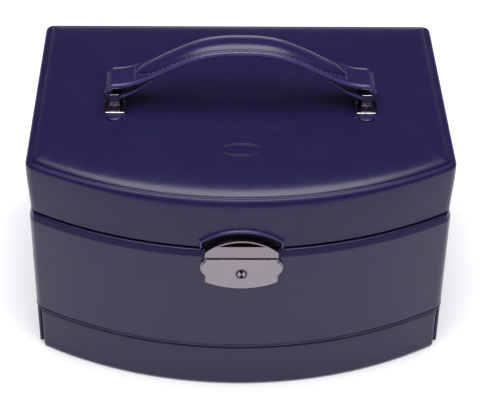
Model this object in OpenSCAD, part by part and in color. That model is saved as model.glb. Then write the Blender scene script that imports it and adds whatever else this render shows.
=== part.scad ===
// Jewellery case with a bowed front: a leather-covered box with a hinged lid,
// a lift-out tray, a full-width drawer, a sprung lock and a carrying handle.
// The origin is on the floor, in the middle of the overall width and depth.

/* [Case] */
// Width across the leather sides
case_w = 260; // [210:1:320]
// Depth of the straight sides
side_d = 162; // [130:1:200]
// How far the middle of the front bows out past the corners
bow = 38; // [30:1:46]
// Height from the floor to the rim under the lid
rim_z = 109.5; // [105:0.5:140]
// Radius of the two front corners
front_corner_r = 9; // [5:0.5:14]
// Radius of the two back corners
back_corner_r = 5; // [3:0.5:10]
// Thickness of the wooden boards
board_t = 6; // [4.5:0.5:8]
// Thickness of the leather cover
skin = 1.2; // [0.8:0.1:1.6]
// Thickness of the suede lining
lining = 0.8; // [0.5:0.1:1.2]
// Thickness of the felt under the base
felt_t = 0.8; // [0.5:0.1:2]
// Thickness of the base board
base_t = 4; // [3:0.5:6]
// Height of the padded roll on the rim
roll_h = 5.5; // [4:0.5:7]

/* [Lid] */
// Height of the lid's side, up to its piping
lid_h = 36.7; // [28:0.1:50]
// Gap between the rim and the lid
lid_gap = 0.8; // [0.5:0.1:1.5]
// Rise of the padded top above the lid board
pad_h = 5; // [3:0.5:8]
// How far the piping stands out past the leather
piping_proud = 1.1; // [0.5:0.1:2]
// Width of the mirror inside the lid
mirror_w = 150; // [100:1:170]
// Depth of the mirror inside the lid
mirror_d = 90; // [60:1:110]

/* [Drawer] */
// Clear height of the drawer bay
bay_h = 29.2; // [26:0.1:40]
// Thickness of the board between the drawer bay and the compartment
partition_t = 3; // [2:0.5:5]
// Thickness of the drawer's bowed front, with its leather
drawer_front_t = 7.5; // [6:0.5:9]
// Thickness of the drawer's sides and back
drawer_board_t = 5; // [3:0.5:6]
// Gap on each side of the drawer box
drawer_gap = 1.8; // [1:0.1:4]

/* [Tray] */
// Height of the lift-out tray
tray_h = 31.7; // [20:0.1:34]
// Gap between the tray and the lining at the sides and the front
tray_gap = 1; // [0.6:0.1:3]
// Thickness of the tray's frame
tray_wall = 4; // [3:0.5:6]
// Radius of one padded ring roll
ring_roll_r = 5; // [4:0.5:6]
// Number of ring rolls
ring_roll_count = 7; // [4:1:7]

/* [Handle] */
// Distance between the handle's two brackets
handle_span = 157; // [130:1:180]
// Width of the strap
strap_w = 22; // [16:1:28]
// Thickness of the strap
strap_t = 3; // [2:0.25:4]
// Rise of the strap from its ends to its middle
strap_rise = 23.85; // [16:0.05:30]
// Fullness of the strap's arch: 1 is a plain wave, more is broader in the middle
strap_full = 1.3; // [1:0.05:1.5]
// Width of the padded grip on the strap
grip_w = 14; // [10:1:18]
// Height of the padded grip above the strap
grip_h = 3; // [1:0.5:5]

/* [Lock] */
// Width of the lock plate without its wings
lock_w = 44; // [38:1:50]
// Height of the lock plate
lock_h = 23.7; // [20:0.1:28]
// How far the lock plate stands proud of the leather
lock_proud = 3.3; // [3.1:0.1:5]
// Radius of the key plug
plug_r = 3.45; // [2.5:0.05:4]
// How far the lock plate slides down to let go
lock_travel = 3; // [2:0.1:3.4]
// Height of the hasp's arched plate
hasp_h = 12.5; // [10:0.5:16]

/* [Hinges] */
// Distance of each hinge from the middle
hinge_x = 75; // [50:1:85]
// Length of each hinge
hinge_l = 32; // [24:1:40]
// Radius of the hinge knuckles
knuckle_r = 2.2; // [2:0.1:3]
// Radius of the hinge pin
pin_r = 1; // [0.8:0.1:1.4]

/* [Hidden] */
$fn = 32;
running = 0.05;      // radial clearance of a pin that turns
eps = 1;             // how far a cut runs past a face

hinge_stand = 0.3;   // knuckles' gap to the leather
leaf_t = 1;          // thickness of a hinge leaf
leaf_h = 13;         // height of a hinge leaf
knuckle_gap = 0.2;

// Depth: the whole is centred between the key plug's face and the knuckles.
plug_proud = 0.3;
knuckle_back = hinge_stand + 2 * knuckle_r;
case_d = side_d + bow;
back_y = (case_d + lock_proud + plug_proud - knuckle_back) / 2;
front_y = back_y - case_d;
corner_y = back_y - side_d;
front_r = (case_w * case_w / 4 + bow * bow) / (2 * bow);
front_cy = front_y + front_r;
bow_step = 2.5;      // degrees between two points on the bowed front

// Heights
base_top = felt_t + base_t;
bay_top = base_top + bay_h;
floor_z = bay_top + partition_t;
roll_z = rim_z - roll_h;
lid_z = rim_z + lid_gap;
edge_z = lid_z + lid_h;
lid_board_z = edge_z - 8;
lid_board_top = lid_board_z + board_t;
pad_top = lid_board_top + pad_h;
fold = 1;            // leather turned over an edge
wall_in = skin + board_t;
room_in = wall_in + lining;
joint_y = corner_y + 10;       // where the front board meets the side boards
bay_in = drawer_front_t + 1.5; // base board's front edge, behind the drawer front

// Drawer
drawer_side = wall_in + drawer_gap;
drawer_back = wall_in + 4;
drawer_in = drawer_front_t + 0.5;
drawer_z = base_top + 0.4;
drawer_floor_t = 3;
drawer_top = bay_top - 4;
drawer_front_z = [1, bay_top - 1.5];
drawer_front_half = case_w / 2 - 2.7;
drawer_leather = 0.8;
wide = 9;            // how far an outline cut off by a block runs past it
drawer_div_x = case_w * 0.16;
thin_div = 3;

// Tray
tray_in = room_in + tray_gap;
tray_back = tray_in + 1;
tray_top = rim_z - 3.5;
tray_z = tray_top - tray_h;
tray_floor_t = 3;
tray_cross_y = 20;
tray_back_x = 39;
roll_half = 58;
ring_roll_pitch = 2 * ring_roll_r + 1;
tray_div_top = tray_top - 5;
ledge_h = 8;
ledge_w = 4;
tray_rest = 0.3;     // tray's height above its ledges
low_div_x = case_w * 0.16;
low_div_top = tray_z - tray_rest - ledge_h - 4;

// Hinges
axis_y = back_y + hinge_stand + knuckle_r;
axis_z = rim_z + lid_gap / 2;
mid_knuckle = hinge_l * 0.36;
leaf_notch = knuckle_r + 0.3;
leaf_screw_x = hinge_l * 0.3;
leaf_screw_z = leaf_notch + 6;
screw_head_r = 1.9;
screw_r = 0.9;
screw_l = 5.5;

// Lock, in heights from the floor
lock_top = rim_z - 3.9;
lock_bottom = lock_top - lock_h;
wing_r = 7.35;
wing_x = lock_w / 2 - 4.45;
wing_z = lock_top - 7.6;
lock_sag = 5;        // drop of the arched bottom edge below its ends
lock_arc_r = (lock_w * lock_w / 4 + lock_sag * lock_sag) / (2 * lock_sag);
plug_z = lock_bottom + 12;
lock_plate_t = 1.4;
lock_back = lock_proud - lock_plate_t;   // moving plate's back face, from the leather
lock_case_t = lock_back - 0.1;
lock_step = 0.8;
box_w = 32;
box_z = [lock_top - 17.1, lock_top - 4.1];
box_d = 5.5;
box_wall = 1.5;
bolt_z = box_z[1] - box_wall - 3;
bolt_h = 2;
bolt_w = 26;
bolt_y = [1.2, 3.2];
post_x = 10;
post_r = 1.2;
lock_screw_x = wing_x + 1;
spring_r = 1.2;
spring_wire = 0.3;
spring_turns = 4;
spring_steps = 12;

// Hasp
hasp_z = rim_z - 3.1;
hasp_side = 3.6;
hasp_rise = hasp_h - hasp_side;
hasp_arc_r = (lock_w * lock_w / 4 + hasp_rise * hasp_rise) / (2 * hasp_rise);
hasp_lip = hasp_z + 8.2;
hasp_t = 0.9;
hasp_bed = 2;        // depth that clears the bow across the hasp's width
tongue_w = 12;
tongue_gap = 0.5;
tongue_z = lock_top - 13.6;
hook = 1;
recess_gap = 0.8;
recess_rise = 4.6;
hasp_rivet_x = 14;
hasp_rivet_z = lid_z + 2.2;

// Handle
bracket_w = 13;
bracket_t = 1.2;
cheek_t = 0.6;
cheek_h = 3.2;       // height of the cheeks beside the strap's end
cheek_end_h = 7.3;   // height of the cheeks beside the link's legs
ear_t = 1.4;
ear_w = 6.4;
ear_gap = 0.3;
ear_h = 1.9;         // height of the ears above the link's pins
link_w = 5.8;
link_t = 1.5;
link_l = strap_w + 2 * (link_t + 0.5);
link_pin_r = 1.25;
pin_head = 0.3;      // how far a rivet's end stands past its leg and its ear
bracket_l = link_l + 2 * (ear_gap + ear_t);
pivot_z = pad_top + bracket_t + link_w / 2 + 0.3;
bar_z = pivot_z + 7.7;
loop_in_r = norm([link_w, link_t]) / 2 + 0.1;
loop_r = loop_in_r + strap_t;
strap_z = bar_z + loop_r;
grip_half = handle_span / 2 - 17;
strap_points = 20;   // points along each half of the strap
strap_step = handle_span / 2 / strap_points;
return_l = 18;      // length of strap turned back under itself
rivet_r = 1.2;
rivet_y = 6;
tab_w = 10;
tab_l = 8;

leather_c = [0.16, 0.13, 0.36];
suede_c = [0.30, 0.27, 0.45];
wood_c = [0.72, 0.58, 0.42];
metal_c = [0.62, 0.60, 0.64];

// ---- plan of the case ----

function arc(c, r, a0, a1, n) =
    [for (i = [0:n]) c + r * [cos(a0 + (a1 - a0) * i / n), sin(a0 + (a1 - a0) * i / n)]];

// Centre of the right front corner's fillet, where the side meets the bowed front.
function corner_c(side, front, r) =
    let (x = case_w / 2 - side - r)
    [x, front_cy - sqrt(pow(front_r - front - r, 2) - x * x)];

// Points of the bowed front, right to left, between two fillets that end at angle a.
function bow_points(front, a) =
    let (n = floor((90 + a - 0.6) / bow_step))
    [for (k = [n:-1:-n])
        [0, front_cy] + (front_r - front) * [sin(k * bow_step), -cos(k * bow_step)]];

// Outline with its own distance inwards at the sides, the front and the back.
function plan(side, front, back, rf, rb) =
    let (c = corner_c(side, front, rf),
        a = atan2(c.y - front_cy, c.x),
        bx = case_w / 2 - side - rb,
        by = back_y - back - rb)
    concat(
        arc(c, rf, 0, a, 4),
        bow_points(front, a),
        arc([-c.x, c.y], rf, -180 - a, -180, 4),
        arc([-bx, by], rb, 180, 90, 3),
        arc([bx, by], rb, 90, 0, 3));

// Outline at one distance inwards all round.
function even(in) =
    plan(in, in, in, max(front_corner_r - in, 1), max(back_corner_r - in, 1));

module slab(points, z0, z1) {
    translate([0, 0, z0])
        linear_extrude(z1 - z0)
            polygon(points);
}

module solid(in, z0, z1) {
    slab(even(in), z0, z1);
}

module ring(in0, in1, z0, z1) {
    difference() {
        solid(in0, z0, z1);
        solid(in1, z0 - eps, z1 + eps);
    }
}

// A block between two opposite corners.
module block(a, b) {
    translate(a)
        cube(b - a);
}

// Everything in front of the side boards' front ends.
module front_zone(z0, z1) {
    block([-case_w, front_y - eps, z0], [case_w, joint_y, z1]);
}

// A shape drawn in X and Z, standing from y0 to y1.
module upright(y0, y1) {
    translate([0, y1, 0])
        rotate([90, 0, 0])
            linear_extrude(y1 - y0)
                children();
}

// A cylinder along Y.
module rod_y(x, z, r, y0, y1) {
    translate([x, y1, z])
        rotate([90, 0, 0])
            cylinder(r = r, h = y1 - y0);
}

// ---- base and boards ----

function base_plan(in) = plan(in, bay_in, in, 1, max(back_corner_r - in, 1));

module base_felt() {
    color([0.08, 0.08, 0.12])
        difference() {
            slab(base_plan(skin + 0.6), 0, felt_t);
            end_ways();
        }
}

module base_board() {
    color(wood_c)
        difference() {
            slab(base_plan(skin), felt_t, base_top);
            end_ways();
        }
}

// The room in front of the side boards' ends, which the turned leather fills.
module end_ways() {
    x0 = case_w / 2 - wall_in;
    for (s = [-1, 1])
        block([min(s * x0, s * case_w), front_y, -eps],
            [max(s * x0, s * case_w), joint_y, bay_top]);
}

module side_board(s, z0, z1) {
    x0 = case_w / 2 - wall_in;
    x1 = case_w / 2 - skin;
    block([min(s * x0, s * x1), joint_y, z0], [max(s * x0, s * x1), back_y - wall_in, z1]);
}

module back_board(z0, z1) {
    intersection() {
        solid(skin, z0, z1);
        block([-case_w, back_y - wall_in, z0], [case_w, back_y, z1]);
    }
}

module front_board(z0, z1) {
    intersection() {
        ring(skin, wall_in, z0, z1);
        front_zone(z0, z1);
    }
}

module left_wall() {
    color(wood_c)
        side_board(-1, base_top, roll_z);
}

module right_wall() {
    color(wood_c)
        side_board(1, base_top, roll_z);
}

module back_wall() {
    color(wood_c)
        difference() {
            back_board(base_top, roll_z);
            leaf_screws(-1);
        }
}

module front_wall() {
    color(wood_c)
        difference() {
            front_board(bay_top + fold, roll_z);
            lock_pocket();
            lock_screw_set();
        }
}

module partition_board() {
    color(wood_c)
        solid(wall_in, bay_top, floor_z);
}

// ---- leather, rim and lining of the case ----

// The pocket in the front for the lock's box, and the way out above it for the hook.
module lock_pocket() {
    block([-box_w / 2, front_y - eps, box_z[0]], [box_w / 2, front_y + box_d, box_z[1]]);
    hook_way(box_z[1] - eps, rim_z + eps);
}

module hook_way(z0, z1) {
    half = tongue_w / 2 + tongue_gap;
    block([-half, front_y - eps, z0], [half, front_y + hook + 0.5, z1]);
}

module case_leather() {
    color(leather_c) {
        difference() {
            ring(0, skin, felt_t, roll_z);
            block([-case_w, front_y - eps, 0], [case_w, joint_y - skin, bay_top]);
            lock_pocket();
            lock_screw_set();
            leaf_screws(-1);
        }
        intersection() {
            ring(skin, wall_in, bay_top, bay_top + fold);
            front_zone(bay_top, bay_top + fold);
        }
        for (s = [-1, 1])
            turned_end(s);
    }
}

// Leather turned round the front end of a side board, beside the drawer.
module turned_end(s) {
    x0 = case_w / 2 - wall_in;
    x1 = case_w / 2 - skin;
    block([min(s * x0, s * x1), joint_y - skin, felt_t],
        [max(s * x0, s * x1), joint_y, bay_top]);
}

module rim_roll() {
    steps = [0, 0.35, 0.6, 0.8, 1];
    insets = [0, 0.5, 1.4, 2.8];
    color(leather_c)
        difference() {
            for (k = [0:3])
                solid(insets[k], roll_z + steps[k] * roll_h, roll_z + steps[k + 1] * roll_h);
            solid(wall_in, roll_z - eps, rim_z + eps);
            hook_way(roll_z - eps, rim_z + eps);
        }
}

module compartment_lining() {
    color(suede_c)
        difference() {
            solid(wall_in, floor_z, rim_z - 1.5);
            solid(room_in, floor_z + lining, rim_z);
        }
}

module lower_dividers() {
    color(suede_c)
        intersection() {
            solid(room_in, floor_z + lining, low_div_top);
            for (s = [-1, 1])
                block([s * low_div_x - thin_div / 2, front_y, floor_z],
                    [s * low_div_x + thin_div / 2, back_y, rim_z]);
        }
}

module tray_ledges() {
    top = tray_z - tray_rest;
    x1 = case_w / 2 - room_in;
    color(suede_c)
        for (s = [-1, 1])
            block([min(s * x1, s * (x1 - ledge_w)), joint_y + 5, top - ledge_h],
                [max(s * x1, s * (x1 - ledge_w)), back_y - room_in - back_corner_r, top]);
}

// ---- hinges ----

// A countersunk screw driven along -Y from the face at y.
module leaf_screw(x, y, z) {
    translate([x, y, z])
        rotate([90, 0, 0]) {
            cylinder(r1 = screw_head_r, r2 = screw_r, h = leaf_t);
            cylinder(r = screw_r, h = screw_l);
        }
}

// The four screws of the case's leaves (side -1) or of the lid's leaves (side 1).
module leaf_screws(side) {
    for (h = [-1, 1], s = [-1, 1])
        leaf_screw(h * hinge_x + s * leaf_screw_x, back_y + leaf_t,
            axis_z + side * leaf_screw_z);
}

module knuckle(x, x0, x1, bore) {
    translate([x + x0, axis_y, axis_z])
        rotate([0, 90, 0])
            difference() {
                cylinder(r = knuckle_r, h = x1 - x0);
                translate([0, 0, -eps])
                    cylinder(r = bore, h = x1 - x0 + 2 * eps);
            }
}

// The plate of a leaf, below the knuckles (side -1) or above them (side 1).
module leaf_plate(x, side) {
    z0 = axis_z + side * leaf_notch;
    z1 = z0 + side * leaf_h;
    block([x - hinge_l / 2, back_y, min(z0, z1)], [x + hinge_l / 2, back_y + leaf_t, max(z0, z1)]);
}

module case_leaf(x) {
    color(metal_c)
        difference() {
            union() {
                leaf_plate(x, -1);
                for (s = [-1, 1])
                    outer_knuckle(x, s);
            }
            leaf_screws(-1);
        }
}

module outer_knuckle(x, s) {
    near = mid_knuckle / 2 + knuckle_gap;
    x0 = min(s * near, s * hinge_l / 2);
    x1 = max(s * near, s * hinge_l / 2);
    knuckle(x, x0, x1, pin_r);
    leaf_neck(x, x0, x1, -1);
}

// A flat neck from the leaf's plate up to the knuckle's wall.
module leaf_neck(x, x0, x1, side) {
    z0 = axis_z + side * (pin_r + 0.2);
    z1 = axis_z + side * leaf_notch;
    block([x + x0, back_y, min(z0, z1)], [x + x1, back_y + leaf_t, max(z0, z1)]);
}

module lid_leaf(x) {
    color(metal_c)
        difference() {
            union() {
                leaf_plate(x, 1);
                knuckle(x, -mid_knuckle / 2, mid_knuckle / 2, pin_r + running);
                leaf_neck(x, -mid_knuckle / 2, mid_knuckle / 2, 1);
            }
            leaf_screws(1);
        }
}

module hinge_leaf_case_left() {
    case_leaf(-hinge_x);
}

module hinge_leaf_case_right() {
    case_leaf(hinge_x);
}

module hinge_leaf_lid_left() {
    lid_leaf(-hinge_x);
}

module hinge_leaf_lid_right() {
    lid_leaf(hinge_x);
}

module hinge_pins() {
    color(metal_c)
        for (s = [-1, 1])
            translate([s * hinge_x - hinge_l / 2, axis_y, axis_z])
                rotate([0, 90, 0])
                    cylinder(r = pin_r, h = hinge_l);
}

module hinge_screws_case() {
    color(metal_c)
        leaf_screws(-1);
}

module hinge_screws_lid() {
    color(metal_c)
        leaf_screws(1);
}

// ---- lock ----

// The plate's outline seen from the front: straight top, arched bottom, round wings.
module lock_outline(in) {
    intersection() {
        translate([-lock_w / 2 + in, lock_bottom])
            square([lock_w - 2 * in, lock_h - in]);
        translate([0, lock_bottom + lock_arc_r])
            circle(r = lock_arc_r - in, $fn = 90);
    }
    for (s = [-1, 1])
        translate([s * wing_x, wing_z])
            circle(r = wing_r - in);
}

module lock_plate() {
    y0 = front_y - lock_proud;
    y1 = front_y - lock_back;
    color(metal_c)
        difference() {
            union() {
                upright(y0 + lock_step, y1)
                    lock_outline(0);
                upright(y0, y0 + lock_step)
                    lock_outline(lock_step);
            }
            rod_y(0, plug_z, plug_r + running, y0 - eps, y1 + eps);
        }
}

module key_plug() {
    y0 = front_y - lock_proud - plug_proud;
    slot_w = 0.8;
    color(metal_c)
        difference() {
            rod_y(0, plug_z, plug_r, y0, front_y - lock_back);
            block([-slot_w / 2, y0 - eps, plug_z - 2.2], [slot_w / 2, y0 + 1, plug_z + 2.2]);
            rod_y(0, plug_z, 1, y0 - eps, y0 + 1);
        }
}

// The bar behind the wall that catches the tongue, on two posts from the lock plate.
module latch_bolt() {
    z = bolt_z + bolt_h / 2;
    color(metal_c) {
        block([-bolt_w / 2, front_y + bolt_y[0], bolt_z],
            [bolt_w / 2, front_y + bolt_y[1], bolt_z + bolt_h]);
        for (s = [-1, 1])
            rod_y(s * post_x, z, post_r, front_y - lock_back, front_y + bolt_y[0] + 0.5);
    }
}

module post_slots() {
    half = post_r + 0.2;
    z = bolt_z + bolt_h / 2;
    for (s = [-1, 1])
        block([s * post_x - half, front_y - lock_proud, z - lock_travel - half],
            [s * post_x + half, front_y + eps, z + half]);
}

module lock_case() {
    y0 = front_y - lock_case_t;
    mid = front_y - lock_case_t / 2;
    x = box_w / 2;
    color(metal_c)
        difference() {
            union() {
                difference() {
                    upright(y0, front_y + 2)
                        lock_outline(1.2);
                    solid(0, lock_bottom - eps, lock_top + eps);
                }
                block([-x, mid, box_z[0]], [x, front_y + box_d, box_z[1]]);
            }
            block([-x + box_wall, front_y, box_z[0] + box_wall],
                [x - box_wall, front_y + box_d - box_wall, box_z[1] - box_wall]);
            tongue_slot();
            post_slots();
            lock_screw_set();
        }
}

// The way for the tongue and its hook, open at the front and at the top.
module tongue_slot() {
    half = tongue_w / 2 + tongue_gap;
    block([-half, front_y - lock_proud, box_z[0] + box_wall],
        [half, front_y + hook + 0.5, lock_top + eps]);
}

module lock_screw_set() {
    for (s = [-1, 1])
        translate([s * lock_screw_x, front_y - lock_case_t, wing_z])
            rotate([-90, 0, 0]) {
                cylinder(r1 = screw_head_r, r2 = screw_r, h = 1);
                cylinder(r = screw_r, h = screw_l);
            }
}

module lock_screws() {
    color(metal_c)
        lock_screw_set();
}

// Two coil springs under the bolt, each a wire swept along a helix.
module lock_spring() {
    z0 = box_z[0] + box_wall;
    color(metal_c)
        for (s = [-1, 1])
            translate([s * post_x, front_y + (bolt_y[0] + bolt_y[1]) / 2, z0 + spring_wire])
                coil(spring_r, spring_wire, spring_turns, bolt_z - z0 - 2 * spring_wire);
}

module coil(r, wire, turns, h) {
    n = turns * spring_steps;
    sides = 6;
    points = [for (i = [0:n], k = [0:sides - 1])
        let (a = 360 * i / spring_steps, b = 360 * k / sides, q = r + wire * cos(b))
        [q * cos(a), q * sin(a), h * i / n + wire * sin(b)]];
    walls = [for (i = [0:n - 1], k = [0:sides - 1])
        let (j = (k + 1) % sides)
        [i * sides + k, (i + 1) * sides + k, (i + 1) * sides + j, i * sides + j]];
    start = [for (k = [0:sides - 1]) k];
    end = [for (k = [sides - 1:-1:0]) n * sides + k];
    polyhedron(points, concat(walls, [start, end]));
}

// ---- lid ----

module lid_left_wall() {
    color(wood_c)
        side_board(-1, lid_z + fold, lid_board_z);
}

module lid_right_wall() {
    color(wood_c)
        side_board(1, lid_z + fold, lid_board_z);
}

module lid_back_wall() {
    color(wood_c)
        difference() {
            back_board(lid_z + fold, lid_board_z);
            leaf_screws(1);
        }
}

module lid_front_wall() {
    color(wood_c)
        difference() {
            front_board(lid_z + fold, lid_board_z);
            hasp_rivet_set();
        }
}

module lid_board() {
    color(wood_c)
        difference() {
            solid(skin, lid_board_z, lid_board_top);
            bracket_rivet_set();
        }
}

module lid_leather() {
    color(leather_c) {
        difference() {
            ring(0, skin, lid_z, lid_board_top);
            hasp_recess();
            leaf_screws(1);
        }
        ring(skin, wall_in, lid_z, lid_z + fold);
    }
}

// The arched hollow in the lid's leather, round the hasp.
module hasp_recess() {
    r = hasp_arc_r + recess_rise;
    upright(front_y - eps, front_y + skin + hasp_bed)
        intersection() {
            translate([-lock_w / 2 - recess_gap, lid_z - eps])
                square([lock_w + 2 * recess_gap, lid_h]);
            translate([0, hasp_z + hasp_h - hasp_arc_r])
                circle(r = r, $fn = 90);
        }
}

module lid_pad() {
    steps = [0, 0.45, 0.75, 1];
    insets = [piping_proud + 0.3, 4, 9];
    color(leather_c)
        difference() {
            for (k = [0:2])
                solid(insets[k], lid_board_top + steps[k] * pad_h,
                    lid_board_top + steps[k + 1] * pad_h);
            bracket_rivet_set();
        }
}

module lid_piping() {
    color(leather_c)
        difference() {
            solid(-piping_proud, lid_board_top - 0.8, lid_board_top + 1.8);
            solid(0, lid_board_top - 2, lid_board_top);
            solid(piping_proud + 0.3, lid_board_top - eps, lid_board_top + 3);
        }
}

module lid_lining() {
    color(suede_c)
        difference() {
            solid(wall_in, lid_z + 1.5, lid_board_z);
            solid(room_in, lid_z, lid_board_z - lining);
        }
}

module mirror_block(w, d, z0, z1) {
    block([-w / 2, -d / 2, z0], [w / 2, d / 2, z1]);
}

module mirror_frame() {
    z1 = lid_board_z - lining;
    color(leather_c)
        difference() {
            mirror_block(mirror_w + 12, mirror_d + 12, z1 - 2, z1);
            mirror_block(mirror_w, mirror_d, z1 - 3, z1 + eps);
        }
}

module mirror() {
    z1 = lid_board_z - lining;
    color([0.8, 0.85, 0.88])
        mirror_block(mirror_w, mirror_d, z1 - 1.6, z1);
}

// ---- hasp ----

// The hasp's arched outline seen from the front.
module hasp_outline(in) {
    intersection() {
        translate([-lock_w / 2 + in, hasp_z])
            square([lock_w - 2 * in, hasp_h]);
        translate([0, hasp_z + hasp_h - hasp_arc_r])
            circle(r = hasp_arc_r - in, $fn = 90);
    }
}

module hasp_plate() {
    y0 = front_y - lock_proud;
    y1 = front_y - hasp_t;
    color(metal_c)
        difference() {
            union() {
                difference() {
                    upright(y1, front_y + skin + hasp_bed)
                        hasp_outline(0);
                    solid(skin, lid_z, edge_z);
                    solid(0, hasp_z - eps, lid_z);
                }
                difference() {
                    upright(y0, y1)
                        hasp_outline(0);
                    upright(y0 + hasp_t, y1)
                        hasp_hollow(hasp_z + hasp_t);
                    upright(y0 - eps, y1)
                        hasp_hollow(hasp_lip);
                }
            }
            hasp_rivet_set();
        }
}

// The hollow inside the hasp's arched rim, above a height.
module hasp_hollow(z0) {
    intersection() {
        hasp_outline(hasp_t);
        translate([-lock_w / 2, z0])
            square([lock_w, hasp_h]);
    }
}

module hasp_tongue() {
    half = tongue_w / 2;
    color(metal_c) {
        block([-half, front_y - hasp_t, tongue_z], [half, front_y, hasp_z]);
        block([-half, front_y - hasp_t, tongue_z + 2], [half, front_y + hook, tongue_z + 4]);
    }
}

module hasp_rivet_set() {
    y = front_y - hasp_t;
    for (s = [-1, 1]) {
        rod_y(s * hasp_rivet_x, hasp_rivet_z, 1.6, y - 0.7, y);
        rod_y(s * hasp_rivet_x, hasp_rivet_z, 0.9, y - 0.3, y + 5.5);
    }
}

module hasp_rivets() {
    color(metal_c)
        hasp_rivet_set();
}

// ---- handle ----

module bracket(s) {
    top = pad_top + bracket_t;
    x = s * handle_span / 2;
    color(metal_c)
        difference() {
            translate([x, 0, 0]) {
                block([-bracket_w / 2, -bracket_l / 2, pad_top],
                    [bracket_w / 2, bracket_l / 2, top]);
                for (e = [-1, 1]) {
                    ear(e, top);
                    cheek(e, top);
                }
            }
            bracket_rivet_set();
            link_pin_pair(x, link_pin_r);
        }
}

// The upturned end of a bracket, outside a leg of the link.
module ear(e, top) {
    y0 = e * (link_l / 2 + ear_gap);
    y1 = e * bracket_l / 2;
    block([-ear_w / 2, min(y0, y1), top], [ear_w / 2, max(y0, y1), pivot_z + ear_h]);
}

// A side of a bracket: low beside the strap, taller beside the link's legs.
module cheek(e, top) {
    x0 = min(e * (bracket_w / 2 - cheek_t), e * bracket_w / 2);
    x1 = x0 + cheek_t;
    block([x0, -bracket_l / 2, top], [x1, bracket_l / 2, top + cheek_h]);
    for (b = [-1, 1]) {
        y0 = b * (link_l / 2 - link_t);
        y1 = b * bracket_l / 2;
        block([x0, min(y0, y1), top], [x1, max(y0, y1), top + cheek_end_h]);
    }
}

module handle_bracket_left() {
    bracket(-1);
}

module handle_bracket_right() {
    bracket(1);
}

module bracket_rivet_set() {
    top = pad_top + bracket_t;
    for (s = [-1, 1], e = [-1, 1])
        translate([s * handle_span / 2, e * rivet_y, lid_board_z + 0.5]) {
            cylinder(r = rivet_r, h = top - lid_board_z - 0.5);
            translate([0, 0, top - lid_board_z - 0.9])
                cylinder(r = 1.8, h = 0.4);
        }
}

module bracket_rivets() {
    color(metal_c)
        bracket_rivet_set();
}

// Leather tongues that cover the brackets' feet in front and behind.
module bracket_tabs() {
    color(leather_c)
        for (s = [-1, 1], e = [-1, 1])
            translate([s * handle_span / 2, 0, pad_top])
                linear_extrude(bracket_t)
                    tab_outline(e);
}

module tab_outline(e) {
    y0 = e * bracket_l / 2;
    y1 = e * (bracket_l / 2 + tab_l - tab_w / 2);
    translate([-tab_w / 2, min(y0, y1)])
        square([tab_w, abs(y1 - y0)]);
    intersection() {
        translate([0, y1])
            circle(r = tab_w / 2);
        translate([-tab_w, e > 0 ? y1 - 0.5 : y1 - tab_w])
            square([2 * tab_w, tab_w + 0.5]);
    }
}

// Two rivets that a link's legs turn on, one through each ear, clear of the strap's end.
module link_pin_pair(x, r) {
    near = link_l / 2 - link_t - pin_head;
    far = bracket_l / 2 + pin_head;
    for (e = [-1, 1])
        rod_y(x, pivot_z, r, min(e * near, e * far), max(e * near, e * far));
}

module link_pins() {
    color(metal_c)
        for (s = [-1, 1])
            link_pin_pair(s * handle_span / 2, link_pin_r);
}

// A flat strip bent into a loop: two legs on the pin and a bar through the strap.
module link(s) {
    x = s * handle_span / 2;
    color(metal_c)
        difference() {
            translate([x, 0, 0])
                for (e = [-1, 1]) {
                    y0 = e > 0 ? link_l / 2 - link_t : -link_l / 2;
                    block([-link_w / 2, y0, pivot_z], [link_w / 2, y0 + link_t, bar_z]);
                    rod_y(0, pivot_z, link_w / 2, y0, y0 + link_t);
                    block([-link_w / 2, -link_l / 2, bar_z - link_t / 2],
                        [link_w / 2, link_l / 2, bar_z + link_t / 2]);
                }
            link_pin_pair(x, link_pin_r + running);
        }
}

module link_left() {
    link(-1);
}

module link_right() {
    link(1);
}

// Height of the strap's upper face at a distance x from the middle.
function strap_top(x) =
    let (way_out = min(abs(x) / (handle_span / 2), 1))
    strap_z + strap_rise * (1 + cos(pow(way_out, strap_full) * 180)) / 2;

// Points along the strap, `up` above its upper face: n on each side of the middle,
// towards +X (way 1) or towards -X (way -1).
function strap_line(n, way, up) =
    [for (i = [-n:n])
        let (x = way * i * strap_step)
        [x, strap_top(x) + up]];

module handle_strap() {
    x = handle_span / 2;
    color(leather_c)
        upright(-strap_w / 2, strap_w / 2) {
            polygon(concat(strap_line(strap_points, 1, 0),
                strap_line(strap_points, -1, -strap_t)));
            for (s = [-1, 1])
                translate([s * x, bar_z])
                    strap_end(s);
            for (s = [-1, 1])
                strap_return(s);
        }
}

// Half a turn of strap round the outside of a link's bar.
module strap_end(s) {
    intersection() {
        difference() {
            circle(r = loop_r);
            circle(r = loop_in_r);
        }
        translate([s > 0 ? 0 : -2 * loop_r, -2 * loop_r])
            square([2 * loop_r, 4 * loop_r]);
    }
}

// The end of the strap, turned back under the bar and stitched to its underside.
module strap_return(s) {
    x = handle_span / 2;
    under = bar_z - loop_r;
    over = bar_z - loop_in_r;
    near = x - return_l + 5;
    far = x - return_l;
    polygon([
        [s * x, under],
        [s * x, over],
        [s * (x - 4), over],
        [s * near, strap_top(near) - strap_t + 0.1],
        [s * far, strap_top(far) - strap_t + 0.1],
        [s * far, strap_top(far) - 2 * strap_t],
        [s * near, strap_top(near) - 2 * strap_t - 0.4],
        [s * (x - 4.5), under]]);
}

module handle_pad() {
    n = floor(grip_half / strap_step);
    color(leather_c)
        upright(-grip_w / 2, grip_w / 2)
            polygon(concat(
                [for (p = strap_line(n, 1, 0))
                    [p.x, p.y + grip_h * sqrt(max(0, 1 - pow(p.x / (n * strap_step), 4)))]],
                strap_line(n - 1, -1, 0)));
}

// ---- tray ----

function tray_plan(in) =
    plan(tray_in + in, tray_in + in, tray_back + in, 1.5, 1.5);

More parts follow.
